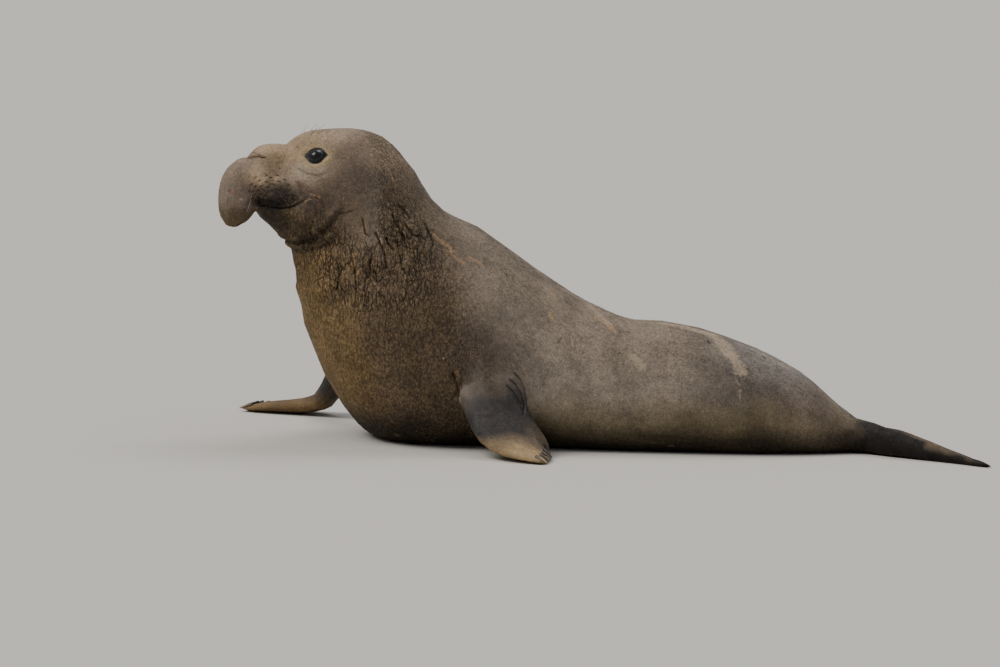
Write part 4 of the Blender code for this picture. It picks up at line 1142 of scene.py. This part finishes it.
# x and z of both ends, width, raggedness, colour, strength
LEFT_MARKS = [
    (-0.456, 0.724, -0.402, 0.679, 0.01, 0.07, ORANGE, 0.75),
    (-0.437, 0.621, -0.422, 0.594, 0.013, 0.07, ORANGE, 0.75),
    (-0.369, 0.712, -0.251, 0.642, 0.017, 0.1, TAN, 0.75),
    (-0.251, 0.64, -0.15, 0.56, 0.023, 0.1, TAN, 0.85),
    (-0.225, 0.604, -0.136, 0.545, 0.016, 0.08, ORANGE, 0.65),
    (-0.044, 0.435, -0.004, 0.394, 0.024, 0.09, TAN, 0.8),
    (-0.33, 0.52, -0.318, 0.48, 0.006, 0.04, TAN, 0.65),
    (-0.395, 0.495, -0.375, 0.52, 0.0035, 0.014, DARK, 0.6),
    (-0.673, 0.513, -0.6, 0.43, 0.003, 0.01, PALE, 0.4),
    (-0.59, 0.415, -0.525, 0.334, 0.003, 0.012, ORANGE, 0.45),
    (-1.019, 0.427, -1.017, 0.425, 0.005, 0.012, PALE, 0.8),
    (-0.705, 0.835, -0.655, 0.785, 0.005, 0.03, DARK, 0.5),
    (-0.864, 0.871, -0.788, 0.835, 0.01, 0.06, ORANGE, 0.65),
    (-1.04, 0.969, -0.943, 0.897, 0.013, 0.09, ORANGE, 0.75),
    (-0.98, 0.9, -0.9, 0.85, 0.01, 0.08, ORANGE, 0.6),
    (-1.25, 0.82, -1.17, 0.87, 0.0024, 0.01, PALE, 0.7),
    (-1.3, 0.955, -1.294, 0.945, 0.006, 0.02, PALE, 0.7),
    (-1.628, 1.214, -1.575, 1.211, 0.002, 0.006, (0.4, 0.26, 0.12), 0.8),
    (-1.792, 1.297, -1.781, 1.299, 0.004, 0.006, DARK, 0.9),
    (-1.84, 1.292, -1.808, 1.3, 0.005, 0.02, (0.24, 0.13, 0.06), 0.6),
    (-1.916, 1.139, -1.914, 1.138, 0.0065, 0.012, (0.42, 0.08, 0.06), 0.85),
    (-1.884, 1.106, -1.879, 1.104, 0.007, 0.016, PALE, 0.8),
    (-1.834, 1.12, -1.841, 1.085, 0.0026, 0.006, (0.4, 0.33, 0.42), 0.85),
    (-1.841, 1.085, -1.85, 1.05, 0.0026, 0.008, (0.36, 0.3, 0.38), 0.8),
    (-1.25, 1.27, -1.225, 1.215, 0.008, 0.06, ORANGE, 0.55),
    (-1.33, 1.39, -1.32, 1.37, 0.008, 0.06, ORANGE, 0.55),
    (-1.622, 1.112, -1.6, 1.124, 0.005, 0.03, ORANGE, 0.55),
    (-1.598, 1.146, -1.56, 1.135, 0.004, 0.03, ORANGE, 0.55),
    (0.333, 0.5, 0.345, 0.488, 0.011, 0.03, TAN, 0.7),
    (0.545, 0.444, 0.667, 0.384, 0.02, 0.11, TAN, 0.75),
    (0.092, 0.58, 0.212, 0.566, 0.034, 0.13, TAN, 0.75),
    (0.202, 0.562, 0.313, 0.524, 0.052, 0.15, TAN, 0.9),
    (0.313, 0.524, 0.4, 0.45, 0.054, 0.13, TAN, 0.9),
    (0.4, 0.45, 0.455, 0.38, 0.036, 0.11, TAN, 0.85),
    (0.423, 0.377, 0.454, 0.268, 0.008, 0.08, TAN, 0.55),
    (0.298, 0.5, 0.306, 0.494, 0.007, 0.016, DARK, 0.85),
    (0.556, 0.432, 0.566, 0.425, 0.008, 0.016, DARK, 0.85),
]
RIGHT_MARKS = [
    (-0.9, 0.7, -0.82, 0.62, 0.01, 0.07, ORANGE, 0.7),
    (-0.42, 0.56, -0.33, 0.52, 0.013, 0.08, ORANGE, 0.7),
    (0.15, 0.42, 0.23, 0.35, 0.02, 0.11, TAN, 0.75),
    (-1.33, 1.15, -1.29, 1.08, 0.004, 0.03, PALE, 0.6),
    (-0.1, 0.3, -0.04, 0.33, 0.01, 0.06, TAN, 0.6),
]
print("marks:", len(LEFT_MARKS + RIGHT_MARKS))

# %% [markdown]
# ## The pattern of hide and coat
# One node group makes the colour and the relief that both the skin and the hairs use, so
# that their markings agree. It takes the painted zones and breaks them up with noise at
# four sizes, from hand-wide clouds to the grain of single hairs. On the shield it adds
# pebbles and cracks, which are Voronoi cells, and paints shade into the colour: darker in
# the cracks, the furrows and at the pebbles' edges, lighter on their tops. An image could
# hold all this too, but nodes stay sharp at any distance.

# %% Build the pattern group
TICK_COLOR = (0.37, 0.245, 0.120, 1)
SCUFF_COLOR = (0.34, 0.245, 0.155, 1)
# turn of the golden ticks, and the noise value they start at
TICKS = ((radians(28), 0.60), (radians(-55), 0.615), (radians(80), 0.625))


def add_marks(tree, color):
    """The colour with all the marks on it, and the sum of their shares."""
    shares = []
    for side, marks in ((-1, LEFT_MARKS), (1, RIGHT_MARKS)):
        for x, z, end_x, end_z, width, ragged, tint, strength in marks:
            inputs = {"From": Vector(on_skin(x, z, side)[0]), "To": Vector(on_skin(end_x, end_z, side)[0]),
                      "Width": width, "Ragged": ragged}
            mark = put(tree, "ShaderNodeGroup", inputs, node_tree=MARK)
            shares.append(times(mark.outputs["Share"], strength))
            color = mix(shares[-1], color, (*tint, 1))
    return color, plus(*shares)


def stretched(place, scale):
    return put(place.id_data, "ShaderNodeMapping", {"Vector": place, "Scale": scale}).outputs[0]


def cells(place, scale, feature="F1"):
    inputs = {"Vector": place, "Scale": scale}
    return put(place.id_data, "ShaderNodeTexVoronoi", inputs, feature=feature).outputs["Distance"]


def toned(value, share):
    """A brightness that fades to 1 where the share is 0."""
    return plus(times(less(value, 1.0), share), 1.0)


def winding_lines(place, scale, width):
    """1 on the winding lines where a noise passes its middle value."""
    return remap(calculate("ABSOLUTE", less(noise_of(place, scale, 2, 0.5), 0.5)), 0.0, width, 1.0, 0.0)


def streaked(place, turn):
    """Coordinates in which noise becomes short streaks that lie at an angle on the side view."""
    inputs = {"Vector": place, "Rotation": (0, turn, 0), "Scale": (1.0, 0.45, 0.22)}
    return put(place.id_data, "ShaderNodeMapping", inputs, vector_type="TEXTURE").outputs[0]


def pattern_group():
    kinds = {"Coat": "Color", "Hide": "Float", "Golden": "Float", "Bare": "Float", "Creased": "Float"}
    tree, (coat, hide, golden, bare, creased, _), result = new_group(
        "hide_and_coat", kinds, {"Color": "Color", "Height": "Float"})
    furry = less(1.0, times(bare, 0.65))
    place = object_place(tree)
    drift = vector("SUBTRACT", noise_of(place, 26, 2, 0.5, "Color"), (0.5, 0.5, 0.5))
    bent = vector("MULTIPLY_ADD", drift, (0.012, 0.012, 0.012), place)

    # Clouds, patches, grain and hairs: the coat at four sizes
    patch_noise = noise_of(bent, 36, 4, 0.65)
    grain_noise = noise_of(bent, 135, 3, 0.7)
    hair_noise = noise_of(stretched(bent, (0.30, 1.0, 1.0)), 520, 2)
    clouds = remap(noise_of(bent, 6.5, 3), 0.32, 0.68, 0.82, 1.18)
    patches = remap(patch_noise, 0.30, 0.70, 0.88, 1.12)
    grain = remap(grain_noise, 0.32, 0.68, 0.78, 1.24)
    hairs = remap(hair_noise, 0.30, 0.70, 0.78, 1.22)
    shade = times(clouds, patches, toned(times(grain, hairs), furry))

    # Pebbles, cracks and furrows of the neck shield, with painted shade in the cracks,
    # the furrows and at the pebbles' edges
    pebble = cells(stretched(bent, (1.0, 1.0, 0.55)), 92)
    shade = times(shade, toned(remap(pebble, 0.20, 0.75, 1.22, 0.62), hide))
    crack = remap(cells(stretched(bent, (1.0, 1.0, 0.40)), 46, "DISTANCE_TO_EDGE"), 0.0, 0.11, 1.0, 0.0)
    cracked = times(remap(noise_of(bent, 9, 2), 0.36, 0.58, 0.0, 1.0), remap(creased, 0.15, 0.70, 0.16, 1.0))
    crack = times(crack, cracked, hide)
    finer = winding_lines(stretched(bent, (1.0, 0.8, 0.40)), 44, 0.035)
    level = winding_lines(stretched(bent, (0.30, 0.30, 1.0)), 34, 0.022)
    furrow = winding_lines(stretched(bent, (1.0, 0.8, 0.30)), 20, 0.030)
    furrow = times(calculate("MAXIMUM", furrow, times(finer, 0.6)), creased)
    furrow = calculate("MAXIMUM", furrow, times(level, hide, 0.22))
    # Painted shade: the colour darkens in each crack and furrow.
    for groove, depth in ((crack, 0.72), (furrow, 0.84)):
        shade = times(shade, less(1.0, times(groove, depth)))
    color = mix(1.0, coat, shade, "MULTIPLY")

    # Golden ticks, scuffs and scars over it
    clustered = remap(noise_of(bent, 11, 3), 0.40, 0.60, 0.15, 1.0)
    for turn, low in TICKS:
        ticks = remap(noise_of(streaked(bent, turn), 58, 3, 0.62), low, low + 0.05, 0.0, 0.62)
        color = mix(times(ticks, clustered, golden), color, TICK_COLOR)
    color = mix(times(remap(noise_of(bent, 15, 4, 0.7), 0.62, 0.74, 0.0, 0.40), furry), color, SCUFF_COLOR)
    color, marks = add_marks(tree, color)

    height = plus(times(less(1.0, times(pebble, 1.5)), hide, 0.55), times(crack, -0.9), times(furrow, -1.5),
                  times(patch_noise, 0.45), times(grain_noise, times(furry, 0.50)),
                  times(hair_noise, times(furry, 0.14)), times(marks, 0.12))
    set_inputs(result, {"Color": color, "Height": times(height, plus(1.0, times(hide, 0.8)))})
    return tree


PATTERN = pattern_group()
print("pattern nodes:", len(PATTERN.nodes))

# %% The skin's material
RELIEF_DEPTH = 0.0034


def attribute(tree, name, output="Fac"):
    return put(tree, "ShaderNodeAttribute", attribute_name=name).outputs[output]


def pattern_of(tree):
    """The pattern's colour and height, fed by the attributes that the mesh carries."""
    inputs = {name: attribute(tree, name.lower()) for name in ("Hide", "Golden", "Bare", "Creased")}
    inputs["Coat"] = attribute(tree, "coat_color", "Color")
    return put(tree, "ShaderNodeGroup", inputs, node_tree=PATTERN).outputs[:2]


def skin_material():
    material, shader = new_material("seal_skin")
    tree = material.node_tree
    color, height = pattern_of(tree)
    rough = remap(noise_of(object_place(tree), 40, 3), 0.3, 0.7, 0.64, 0.82)
    for name, wetter in (("bare", 0.06), ("lids", 0.36)):
        rough = less(rough, times(attribute(tree, name), wetter))
    set_inputs(shader, {"Base Color": color, "Roughness": rough, "Normal": relief(height, RELIEF_DEPTH),
                        "Specular IOR Level": 0.20})
    return material


def finish_mesh(mesh, material):
    mesh.materials.clear()
    mesh.materials.append(material)
    mesh.shade_smooth()


finish_mesh(skin.data, skin_material())
print("skin material set")

# %% [markdown]
# ## The eyes
# A seal's eye is a wet, nearly black ball with a faint brown ring round its pupil. It is
# made as a finely divided ball a little larger than the skin's pit, with a slight bulge in
# front, and takes the place of the coarse solid one. Its clear coat gives the sharp
# highlight. A glass shell over an iris would also work, but exports badly.

# %% Make the eyeballs
EYE_SEGMENTS = 64
CORNEA_WIDTH = 0.020
CORNEA_RISE = 0.0016
IRIS_TONES = ((0.003, 0.0022, 0.002, 1), (0.007, 0.005, 0.004, 1))
PUPIL_COLOR = (0.0015, 0.0015, 0.002, 1)
RIM_COLOR = (0.008, 0.009, 0.012, 1)


def eye_material():
    material, shader = new_material("wet_eye", {"Roughness": 0.30, "Specular IOR Level": 0.2,
                                                "Coat Weight": 0.38, "Coat Roughness": 0.04})
    tree = material.node_tree
    ring = attribute(tree, "ring")
    iris = mix(remap(noise_of(object_place(tree), 300, 3), 0.3, 0.7, 0.0, 1.0), *IRIS_TONES)
    color = mix(remap(ring, 0.30, 0.40, 1.0, 0.0), iris, PUPIL_COLOR)
    set_inputs(shader, {"Base Color": mix(remap(ring, 0.60, 0.72, 0.0, 1.0), color, RIM_COLOR)})
    return material


def make_eye(name, material):
    middle = eye_middles[name]
    along, _, out = eye_axes(middle, places, normals)
    shape = bmesh.new()
    bmesh.ops.create_uvsphere(shape, u_segments=EYE_SEGMENTS, v_segments=EYE_SEGMENTS // 2, radius=EYE_RADIUS)
    rings = []
    for vert in shape.verts:
        away = vert.co.xy.length
        rings.append(away / EYE_RADIUS if vert.co.z > 0 else 1.0)
        if vert.co.z > 0:
            vert.co *= 1 + CORNEA_RISE / EYE_RADIUS * float(bump(away, CORNEA_WIDTH))
    turn = Matrix((along, np.cross(out, along), out)).transposed().to_4x4()
    bmesh.ops.transform(shape, matrix=Matrix.Translation(middle) @ turn, verts=shape.verts)
    bmesh.ops.recalc_face_normals(shape, faces=shape.faces)
    mesh = bpy.data.meshes.new(name)
    shape.to_mesh(mesh)
    shape.free()
    put_values(mesh, "ring", rings)
    finish_mesh(mesh, material)
    return add_object("wet_" + name, mesh)


wet_eye = eye_material()
eyeballs = {name: make_eye(name, wet_eye) for name in EYES}
print("eyes:", [len(ball.data.polygons) for ball in eyeballs.values()])

# %% [markdown]
# ## The claws
# Five blunt nails lie on the digits of each fore flipper. The first is the longest and
# palest. The solid claws have the right shape but few faces, so each is copied and rounded
# by subdivision. Their material is horn: dark at the root, pale at the edge, with fine
# ridges along the nail.

# %% Round the claws and give them horn
CLAW_SWELL = 0.0016
CLAW_ROUNDS = 2
RIDGES = 34.0
RIDGE_DARKNESS = 0.4


def horn_material(name, root, tip):
    material, shader = new_material(name, {"Roughness": 0.42})
    place = object_place(material.node_tree)
    along, across = (attribute(material.node_tree, axis) for axis in ("along", "across"))
    worn = plus(along, remap(noise_of(place, 120, 3), 0.3, 0.7, -0.15, 0.15))
    color = mix(remap(worn, 0.15, 0.95, 0.0, 1.0), (*root, 1), (*tip, 1))
    waves = calculate("SINE", times(across, RIDGES))
    color = mix(remap(waves, 0.2, 1.0, 0.0, 0.35), color, (*[RIDGE_DARKNESS * value for value in root], 1))
    height = plus(times(waves, 0.3), noise_of(place, 400, 2))
    set_inputs(shader, {"Base Color": color, "Normal": relief(height, 0.0006)})
    return material


PALE_HORN = horn_material("pale_horn", (0.070, 0.050, 0.032), (0.300, 0.240, 0.165))
DARK_HORN = horn_material("dark_horn", (0.016, 0.012, 0.010), (0.105, 0.082, 0.060))


def make_claw(node):
    shape = merged_copy(node, 0.0)
    mesh = bpy.data.meshes.new(node)
    shape.to_mesh(mesh)
    shape.free()
    claw = add_object("horn_" + node, mesh)
    rounder = claw.modifiers.new("rounder", "SUBSURF")
    rounder.levels = rounder.render_levels = CLAW_ROUNDS
    baked(claw)
    points = points_of(claw.data) + normals_of(claw.data) * CLAW_SWELL
    points[:, 2] = np.maximum(points[:, 2], 0.0)
    put_points(claw.data, points)
    middle = points.mean(axis=0)
    limb_middle = points_of(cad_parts["fore_flipper_" + node.split("_")[1]].data).mean(axis=0)
    way = np.linalg.svd(points - middle, full_matrices=False)[2][0]
    way *= np.sign(way @ (middle - limb_middle))
    along = (points - middle) @ way
    across = (points - middle) @ np.cross([0, 0, 1], way)
    put_values(claw.data, "along", (along - along.min()) / np.ptp(along))
    put_values(claw.data, "across", across / np.ptp(across))
    finish_mesh(claw.data, PALE_HORN if node.endswith("_1") else DARK_HORN)
    return claw


claws = {node: make_claw(node) for node in CLAWS}
print("claws:", len(claws))

# %% [markdown]
# ## Whiskers and brow hairs
# Each pit of the whisker pad holds one stiff dark hair that curves back along the cheek,
# and a few longer ones stand over the eye. The roots are loose points that carry a
# direction and a length, and Geometry Nodes puts one tapered hair on each. Hair curves
# would look the same here, but an export to other programs drops them.

# %% Find the roots of the whiskers and brow hairs
WHISKER_LENGTHS = (0.014, 0.052)
WHISKER_WAY = (0.80, 0.0, -0.42)
WHISKER_LIFT = 0.42
BROW_ROOTS = [(-1.584, 1.392, 0.04), (-1.572, 1.401, 0.048), (-1.556, 1.397, 0.036), (-1.541, 1.408, 0.052),
              (-1.528, 1.402, 0.04), (-1.512, 1.392, 0.046), (-1.505, 1.412, 0.038)]
BROW_WAY = (0.62, 0.0, 0.55)
BROW_LIFT = 0.55
WAY_JITTER = 0.16
LENGTH_JITTER = (0.8, 1.2)
chance = np.random.default_rng(11)


def hair_root(x, z, side, way, lift, length):
    """A hair's root on the skin, the way that it grows and its length."""
    place, out = on_skin(x, z, side)
    lean = np.array(way) + lift * out + chance.normal(0, WAY_JITTER, 3)
    return place, lean / np.linalg.norm(lean), length * chance.uniform(*LENGTH_JITTER)


def roots_object(name, roots):
    mesh = bpy.data.meshes.new(name)
    places, ways, lengths = zip(*roots)
    mesh.from_pydata([tuple(place) for place in places], [], [])
    put_values(mesh, "way", ways)
    put_values(mesh, "length", lengths)
    return add_object(name, mesh)


whisker_roots, brow_roots = [], []
for side in (-1, 1):
    for x, z in PITS:
        back = float(ramp(np.array(x), -1.85, -1.66))
        length = WHISKER_LENGTHS[0] + (WHISKER_LENGTHS[1] - WHISKER_LENGTHS[0]) * back
        whisker_roots.append(hair_root(x, z, side, WHISKER_WAY, WHISKER_LIFT, length))
    for x, z, length in BROW_ROOTS:
        brow_roots.append(hair_root(x, z, side, BROW_WAY, BROW_LIFT, length))
print("whiskers:", len(whisker_roots), " brow hairs:", len(brow_roots))

# %% Grow a tapered hair on each root with Geometry Nodes
HAIR_MIDDLE = 0.55
HAIR_TAPER = 0.85
HAIR_TONES = ((0.012, 0.009, 0.007, 1), (0.060, 0.042, 0.026, 1))


def geometry_group(name, inputs):
    """An empty geometry tree with named inputs, each with a first value, and its two ends."""
    tree = bpy.data.node_groups.new(name, "GeometryNodeTree")
    tree.interface.new_socket("Geometry", in_out="INPUT", socket_type="NodeSocketGeometry")
    for label, (kind, value) in inputs.items():
        tree.interface.new_socket(label, in_out="INPUT", socket_type="NodeSocket" + kind).default_value = value
    tree.interface.new_socket("Geometry", in_out="OUTPUT", socket_type="NodeSocketGeometry")
    return tree, tree.nodes.new("NodeGroupInput").outputs, tree.nodes.new("NodeGroupOutput")


def named(tree, name, kind="FLOAT"):
    return put(tree, "GeometryNodeInputNamedAttribute", {"Name": name}, data_type=kind).outputs["Attribute"]


def finish_tree(tree, inputs, result, material):
    """Puts instances on points, makes them real and gives them their material."""
    placed = put(tree, "GeometryNodeInstanceOnPoints", inputs).outputs[0]
    real = put(tree, "GeometryNodeRealizeInstances", {"Geometry": placed}).outputs[0]
    shown = put(tree, "GeometryNodeSetMaterial", {"Geometry": real, "Material": material}).outputs[0]
    set_inputs(result, {0: shown})
    return tree


def hair_tree(material):
    kinds = {"Thickness": ("Float", 0.014), "Bend": ("Float", 0.3), "Corners": ("Int", 5)}
    tree, (roots, thickness, bend, corners, _), result = geometry_group("tapered_hair_on_each_root", kinds)
    end = put(tree, "ShaderNodeCombineXYZ", {"X": bend, "Z": 1.0}).outputs[0]
    line = put(tree, "GeometryNodeCurveQuadraticBezier",
               {"Resolution": 6, "Start": (0, 0, 0), "Middle": (0, 0, HAIR_MIDDLE), "End": end}).outputs[0]
    taper = less(1.0, times(put(tree, "GeometryNodeSplineParameter").outputs["Factor"], HAIR_TAPER))
    line = put(tree, "GeometryNodeSetCurveRadius", {"Curve": line, "Radius": taper}).outputs[0]
    ring = put(tree, "GeometryNodeCurvePrimitiveCircle", {"Resolution": corners, "Radius": thickness}).outputs[0]
    hair = put(tree, "GeometryNodeCurveToMesh", {"Curve": line, "Profile Curve": ring, "Fill Caps": True}).outputs[0]
    way = named(tree, "way", "FLOAT_VECTOR")
    turn = put(tree, "FunctionNodeAlignRotationToVector", {"Vector": way}, axis="Z").outputs[0]
    inputs = {"Points": roots, "Instance": hair, "Rotation": turn, "Scale": named(tree, "length")}
    return finish_tree(tree, inputs, result, material)


def hair_material():
    material, shader = new_material("dark_whisker", {"Roughness": 0.38})
    tone = remap(noise_of(object_place(material.node_tree), 60, 3), 0.35, 0.65, 0.0, 1.0)
    set_inputs(shader, {"Base Color": mix(tone, *HAIR_TONES)})
    return material


def grown(base, tree, name, settings):
    """Runs a geometry tree on an object and keeps the result as a plain mesh."""
    modifier = base.modifiers.new(tree.name, "NODES")
    modifier.node_group = tree
    for item in tree.interface.items_tree:
        if item.in_out == "INPUT" and item.name in settings:
            modifier[item.identifier] = settings[item.name]
    base.update_tag()
    bpy.context.view_layer.update()
    seen = base.evaluated_get(bpy.context.evaluated_depsgraph_get())
    mesh = bpy.data.meshes.new_from_object(seen)
    base.modifiers.remove(modifier)
    return add_object(name, mesh)


HAIR_TREE = hair_tree(hair_material())
hairs = {}
for name, roots, thickness, bend in (("whiskers", whisker_roots, 0.026, 0.30), ("brow_hairs", brow_roots, 0.011, 0.42)):
    base = roots_object(name + "_roots", roots)
    hairs[name] = grown(base, HAIR_TREE, name, {"Thickness": thickness, "Bend": bend})
    hairs[name].data.shade_smooth()
    bpy.data.objects.remove(base)
print("hairs:", {name: len(hair.data.polygons) for name, hair in hairs.items()})

# %% [markdown]
# ## The coat
# An elephant seal's fur is short and lies flat, so most of it is in the skin's relief.
# But where the body turns away from the eye, the tips of the hairs break its edge. So
# small tufts of a few thin leaves are scattered over the whole skin, lying along the coat,
# longest on the flank and shortest on the face and the flippers. They read the same
# colours as the skin. Each tuft keeps the place of its root on an unwrap of the skin, so
# that its colours can be baked.

# %% Say how long and how thick the coat is and which way it lies
COAT_LENGTHS = {"flank": 0.0115, "shield": 0.0095, "head": 0.0060, "limb": 0.0050}
COAT_LIES = {"flank": (1.0, 0.0, -0.22), "shield": (0.55, 0.0, -0.85), "head": (1.0, 0.0, -0.30)}
COAT_DENSITY = {"body": 9000.0, "head": 26000.0, "limb": 15000.0}
NEAR_MOUTH = 0.010
NEAR_CLAW = 0.006
CLAW_REACH = 0.05
BALD_BELOW = 0.022

lying = blend(np.tile(np.array(COAT_LIES["flank"]), (len(places), 1)), COAT_LIES["shield"], shield)
lying = blend(lying, COAT_LIES["head"], face)
coat_length = COAT_LENGTHS["flank"] + (COAT_LENGTHS["shield"] - COAT_LENGTHS["flank"]) * shield
coat_length += (COAT_LENGTHS["head"] - coat_length) * face
coat_density = COAT_DENSITY["body"] + (COAT_DENSITY["head"] - COAT_DENSITY["body"]) * face
for name, mask in limb_masks.items():
    coat_length[mask] = COAT_LENGTHS["limb"]
    coat_density[mask] = COAT_DENSITY["limb"]
    if name in FORE_PARTS:
        nails = [node for node in CLAWS if node.split("_")[1] == name.split("_")[2]]
        nail_places = np.concatenate([points_of(claws[node].data) for node in nails])
        way = nail_places.mean(axis=0) - places[mask].mean(axis=0)
        lying = blend(lying, way / np.linalg.norm(way), mask)
lying -= normals * (lying * normals).sum(axis=1)[:, None]
mouth_away = nearest_on_line(straight, LIPS)[0]
bald = (lids > 0.02) | (nostril_shade > 0.05) | ((mouth_away < NEAR_MOUTH) & (straight[:, 0] < -1.5))
bald |= (distance_to(places, CLAWS, CLAW_REACH) < NEAR_CLAW) | (places[:, 2] < BALD_BELOW)
put_values(skin.data, "lie", lying)
put_values(skin.data, "coat_length", coat_length)
put_values(skin.data, "coat_density", coat_density * ~bald)
print("coat from", round(float(coat_length.min()), 4), "to", round(float(coat_length.max()), 4), "m long")


# %% Unwrap the skin
def unwrap(obj, name):
    """Flattens the object's faces into a square without overlaps, as a UV map."""
    obj.data.uv_layers.new(name=name)
    bpy.context.view_layer.objects.active = obj
    bpy.ops.object.select_all(action="DESELECT")
    obj.select_set(True)
    bpy.ops.object.mode_set(mode="EDIT")
    bpy.ops.mesh.select_all(action="SELECT")
    bpy.ops.uv.smart_project(angle_limit=radians(80), island_margin=0.001, margin_method="ADD")
    bpy.ops.object.mode_set(mode="OBJECT")
    obj.select_set(False)


unwrap(skin, "skin_unwrap")
print("skin unwrapped, faces:", len(skin.data.polygons))

# %% Make one tuft
LEAVES = 5
LEAF_WIDTH = 0.11
FAN = 0.42
ROOT_SPREAD = 0.22
LIFTS = (0.10, 0.26)


def tuft_object():
    """A tuft one unit long that lies along +X and stands a little way up, as thin leaves."""
    rng = np.random.default_rng(5)
    across = np.array([0, LEAF_WIDTH / 2, 0])
    points, leaf_places = [], []
    for leaf in range(LEAVES):
        side = (leaf / (LEAVES - 1) - 0.5) * 2
        root = np.array([rng.uniform(-0.12, 0.12), side * ROOT_SPREAD, -0.05])
        tip = np.array([rng.uniform(0.8, 1.1), side * FAN, rng.uniform(*LIFTS)])
        points += [tuple(root + across), tuple(root - across), tuple(tip)]
        leaf_places += [(0.0, leaf / LEAVES), (0.0, (leaf + 1) / LEAVES), (1.0, (leaf + 0.5) / LEAVES)]
    mesh = bpy.data.meshes.new("tuft")
    mesh.from_pydata(points, [], np.arange(3 * LEAVES).reshape(-1, 3).tolist())
    mesh.uv_layers.new(name="leaf").uv.foreach_set("vector", np.float32(leaf_places).ravel())
    return add_object("tuft", mesh)


TUFT = tuft_object()
print("tuft faces:", len(TUFT.data.polygons), " normal up:", [round(face.normal.z, 2) for face in TUFT.data.polygons])

# %% Scatter the tufts with Geometry Nodes
TUFT_SIZES = (0.7, 1.3)
LEAF_TINTS = ((0.92, 0.92, 0.92, 1), (1.16, 1.13, 1.08, 1))
PATCH = 0.003
SLICES = [-2.2, -1.55, -1.10, -0.55, 0.10, 2.2]
HELPERS = ("lie", "coat_length", "coat_density", "skin_unwrap")


def tuft_tree(material):
    kinds = {"Tuft": ("Object", None), "From X": ("Float", 0.0), "To X": ("Float", 1.0), "Seed": ("Int", 7),
             "Tousle": ("Float", 0.3)}
    tree, (mesh, tuft, from_x, to_x, seed, tousle, _), result = geometry_group("tufts_of_fur", kinds)
    inputs = {"Mesh": mesh, "Density": named(tree, "coat_density"), "Seed": seed}
    scattered = put(tree, "GeometryNodeDistributePointsOnFaces", inputs, distribute_method="RANDOM").outputs
    x = put(tree, "ShaderNodeSeparateXYZ", {"Vector": put(tree, "GeometryNodeInputPosition").outputs[0]}).outputs["X"]
    inside = times(calculate("GREATER_THAN", x, from_x), calculate("LESS_THAN", x, to_x))
    kept = put(tree, "GeometryNodeSeparateGeometry", {"Geometry": scattered["Points"], "Selection": inside}).outputs[0]
    inputs = {"Min": (-1, -1, -1), "Max": (1, 1, 1), "Seed": 3}
    jitter = put(tree, "FunctionNodeRandomValue", inputs, data_type="FLOAT_VECTOR").outputs["Value"]
    way = vector("ADD", named(tree, "lie", "FLOAT_VECTOR"), vector("SCALE", jitter, Scale=tousle))
    turn = put(tree, "FunctionNodeAlignRotationToVector", {"Rotation": scattered["Rotation"], "Vector": way},
               axis="X", pivot_axis="Z").outputs[0]
    inputs = {"Min_001": TUFT_SIZES[0], "Max_001": TUFT_SIZES[1], "Seed": 4}
    size = times(put(tree, "FunctionNodeRandomValue", inputs, data_type="FLOAT").outputs[1], named(tree, "coat_length"))
    leaves = put(tree, "GeometryNodeObjectInfo", {"Object": tuft}, transform_space="ORIGINAL").outputs["Geometry"]
    inputs = {"Points": kept, "Instance": leaves, "Rotation": turn, "Scale": size}
    return finish_tree(tree, inputs, result, material)


def fur_material():
    """The pattern of the skin, a little paler towards the tips of the hairs."""
    material, shader = new_material("fur", {"Roughness": 0.75, "Specular IOR Level": 0.15})
    tree = material.node_tree
    leaf = put(tree, "ShaderNodeUVMap", uv_map="leaf").outputs[0]
    along = put(tree, "ShaderNodeSeparateXYZ", {"Vector": leaf}).outputs["X"]
    set_inputs(shader, {"Base Color": mix(1.0, pattern_of(tree)[0], mix(along, *LEAF_TINTS), "MULTIPLY")})
    return material


def bake_map(mesh):
    """A UV map on which each tuft is a small patch at its root's place on the skin's unwrap."""
    roots = read(mesh.attributes["skin_unwrap"].data, "vector", 2)
    leaf = read(mesh.uv_layers["leaf"].uv, "vector", 2)
    owners = read(mesh.loops, "vertex_index", 1, np.int32)[:, 0]
    spots = np.float32(roots[owners] + (leaf - 0.5) * PATCH)
    mesh.uv_layers.new(name="OFBake").uv.foreach_set("vector", spots.ravel())
    mesh.uv_layers.active = mesh.uv_layers["OFBake"]


TUFT_TREE = tuft_tree(fur_material())
furs = []
for number, (start, end) in enumerate(zip(SLICES, SLICES[1:]), start=1):
    settings = {"Tuft": TUFT, "From X": start, "To X": end, "Seed": 7, "Tousle": 0.3}
    fur = grown(skin, TUFT_TREE, f"fur_{number}", settings)
    bake_map(fur.data)
    furs.append(fur)
bpy.data.objects.remove(TUFT)
for obj in furs + [skin]:
    for name in HELPERS:
        if name in obj.data.attributes:
            obj.data.attributes.remove(obj.data.attributes[name])
print("triangles of fur:", [len(fur.data.polygons) for fur in furs])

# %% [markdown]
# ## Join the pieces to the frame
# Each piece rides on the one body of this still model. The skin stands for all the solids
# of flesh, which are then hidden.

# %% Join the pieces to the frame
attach(skin, "root")
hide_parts(*FLESH)
for name, ball in eyeballs.items():
    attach(ball, "root")
    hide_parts(name)
for name, claw in claws.items():
    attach(claw, "root")
    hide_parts(name)
for name, hair in hairs.items():
    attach(hair, "root")
for fur in furs:
    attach(fur, "root")
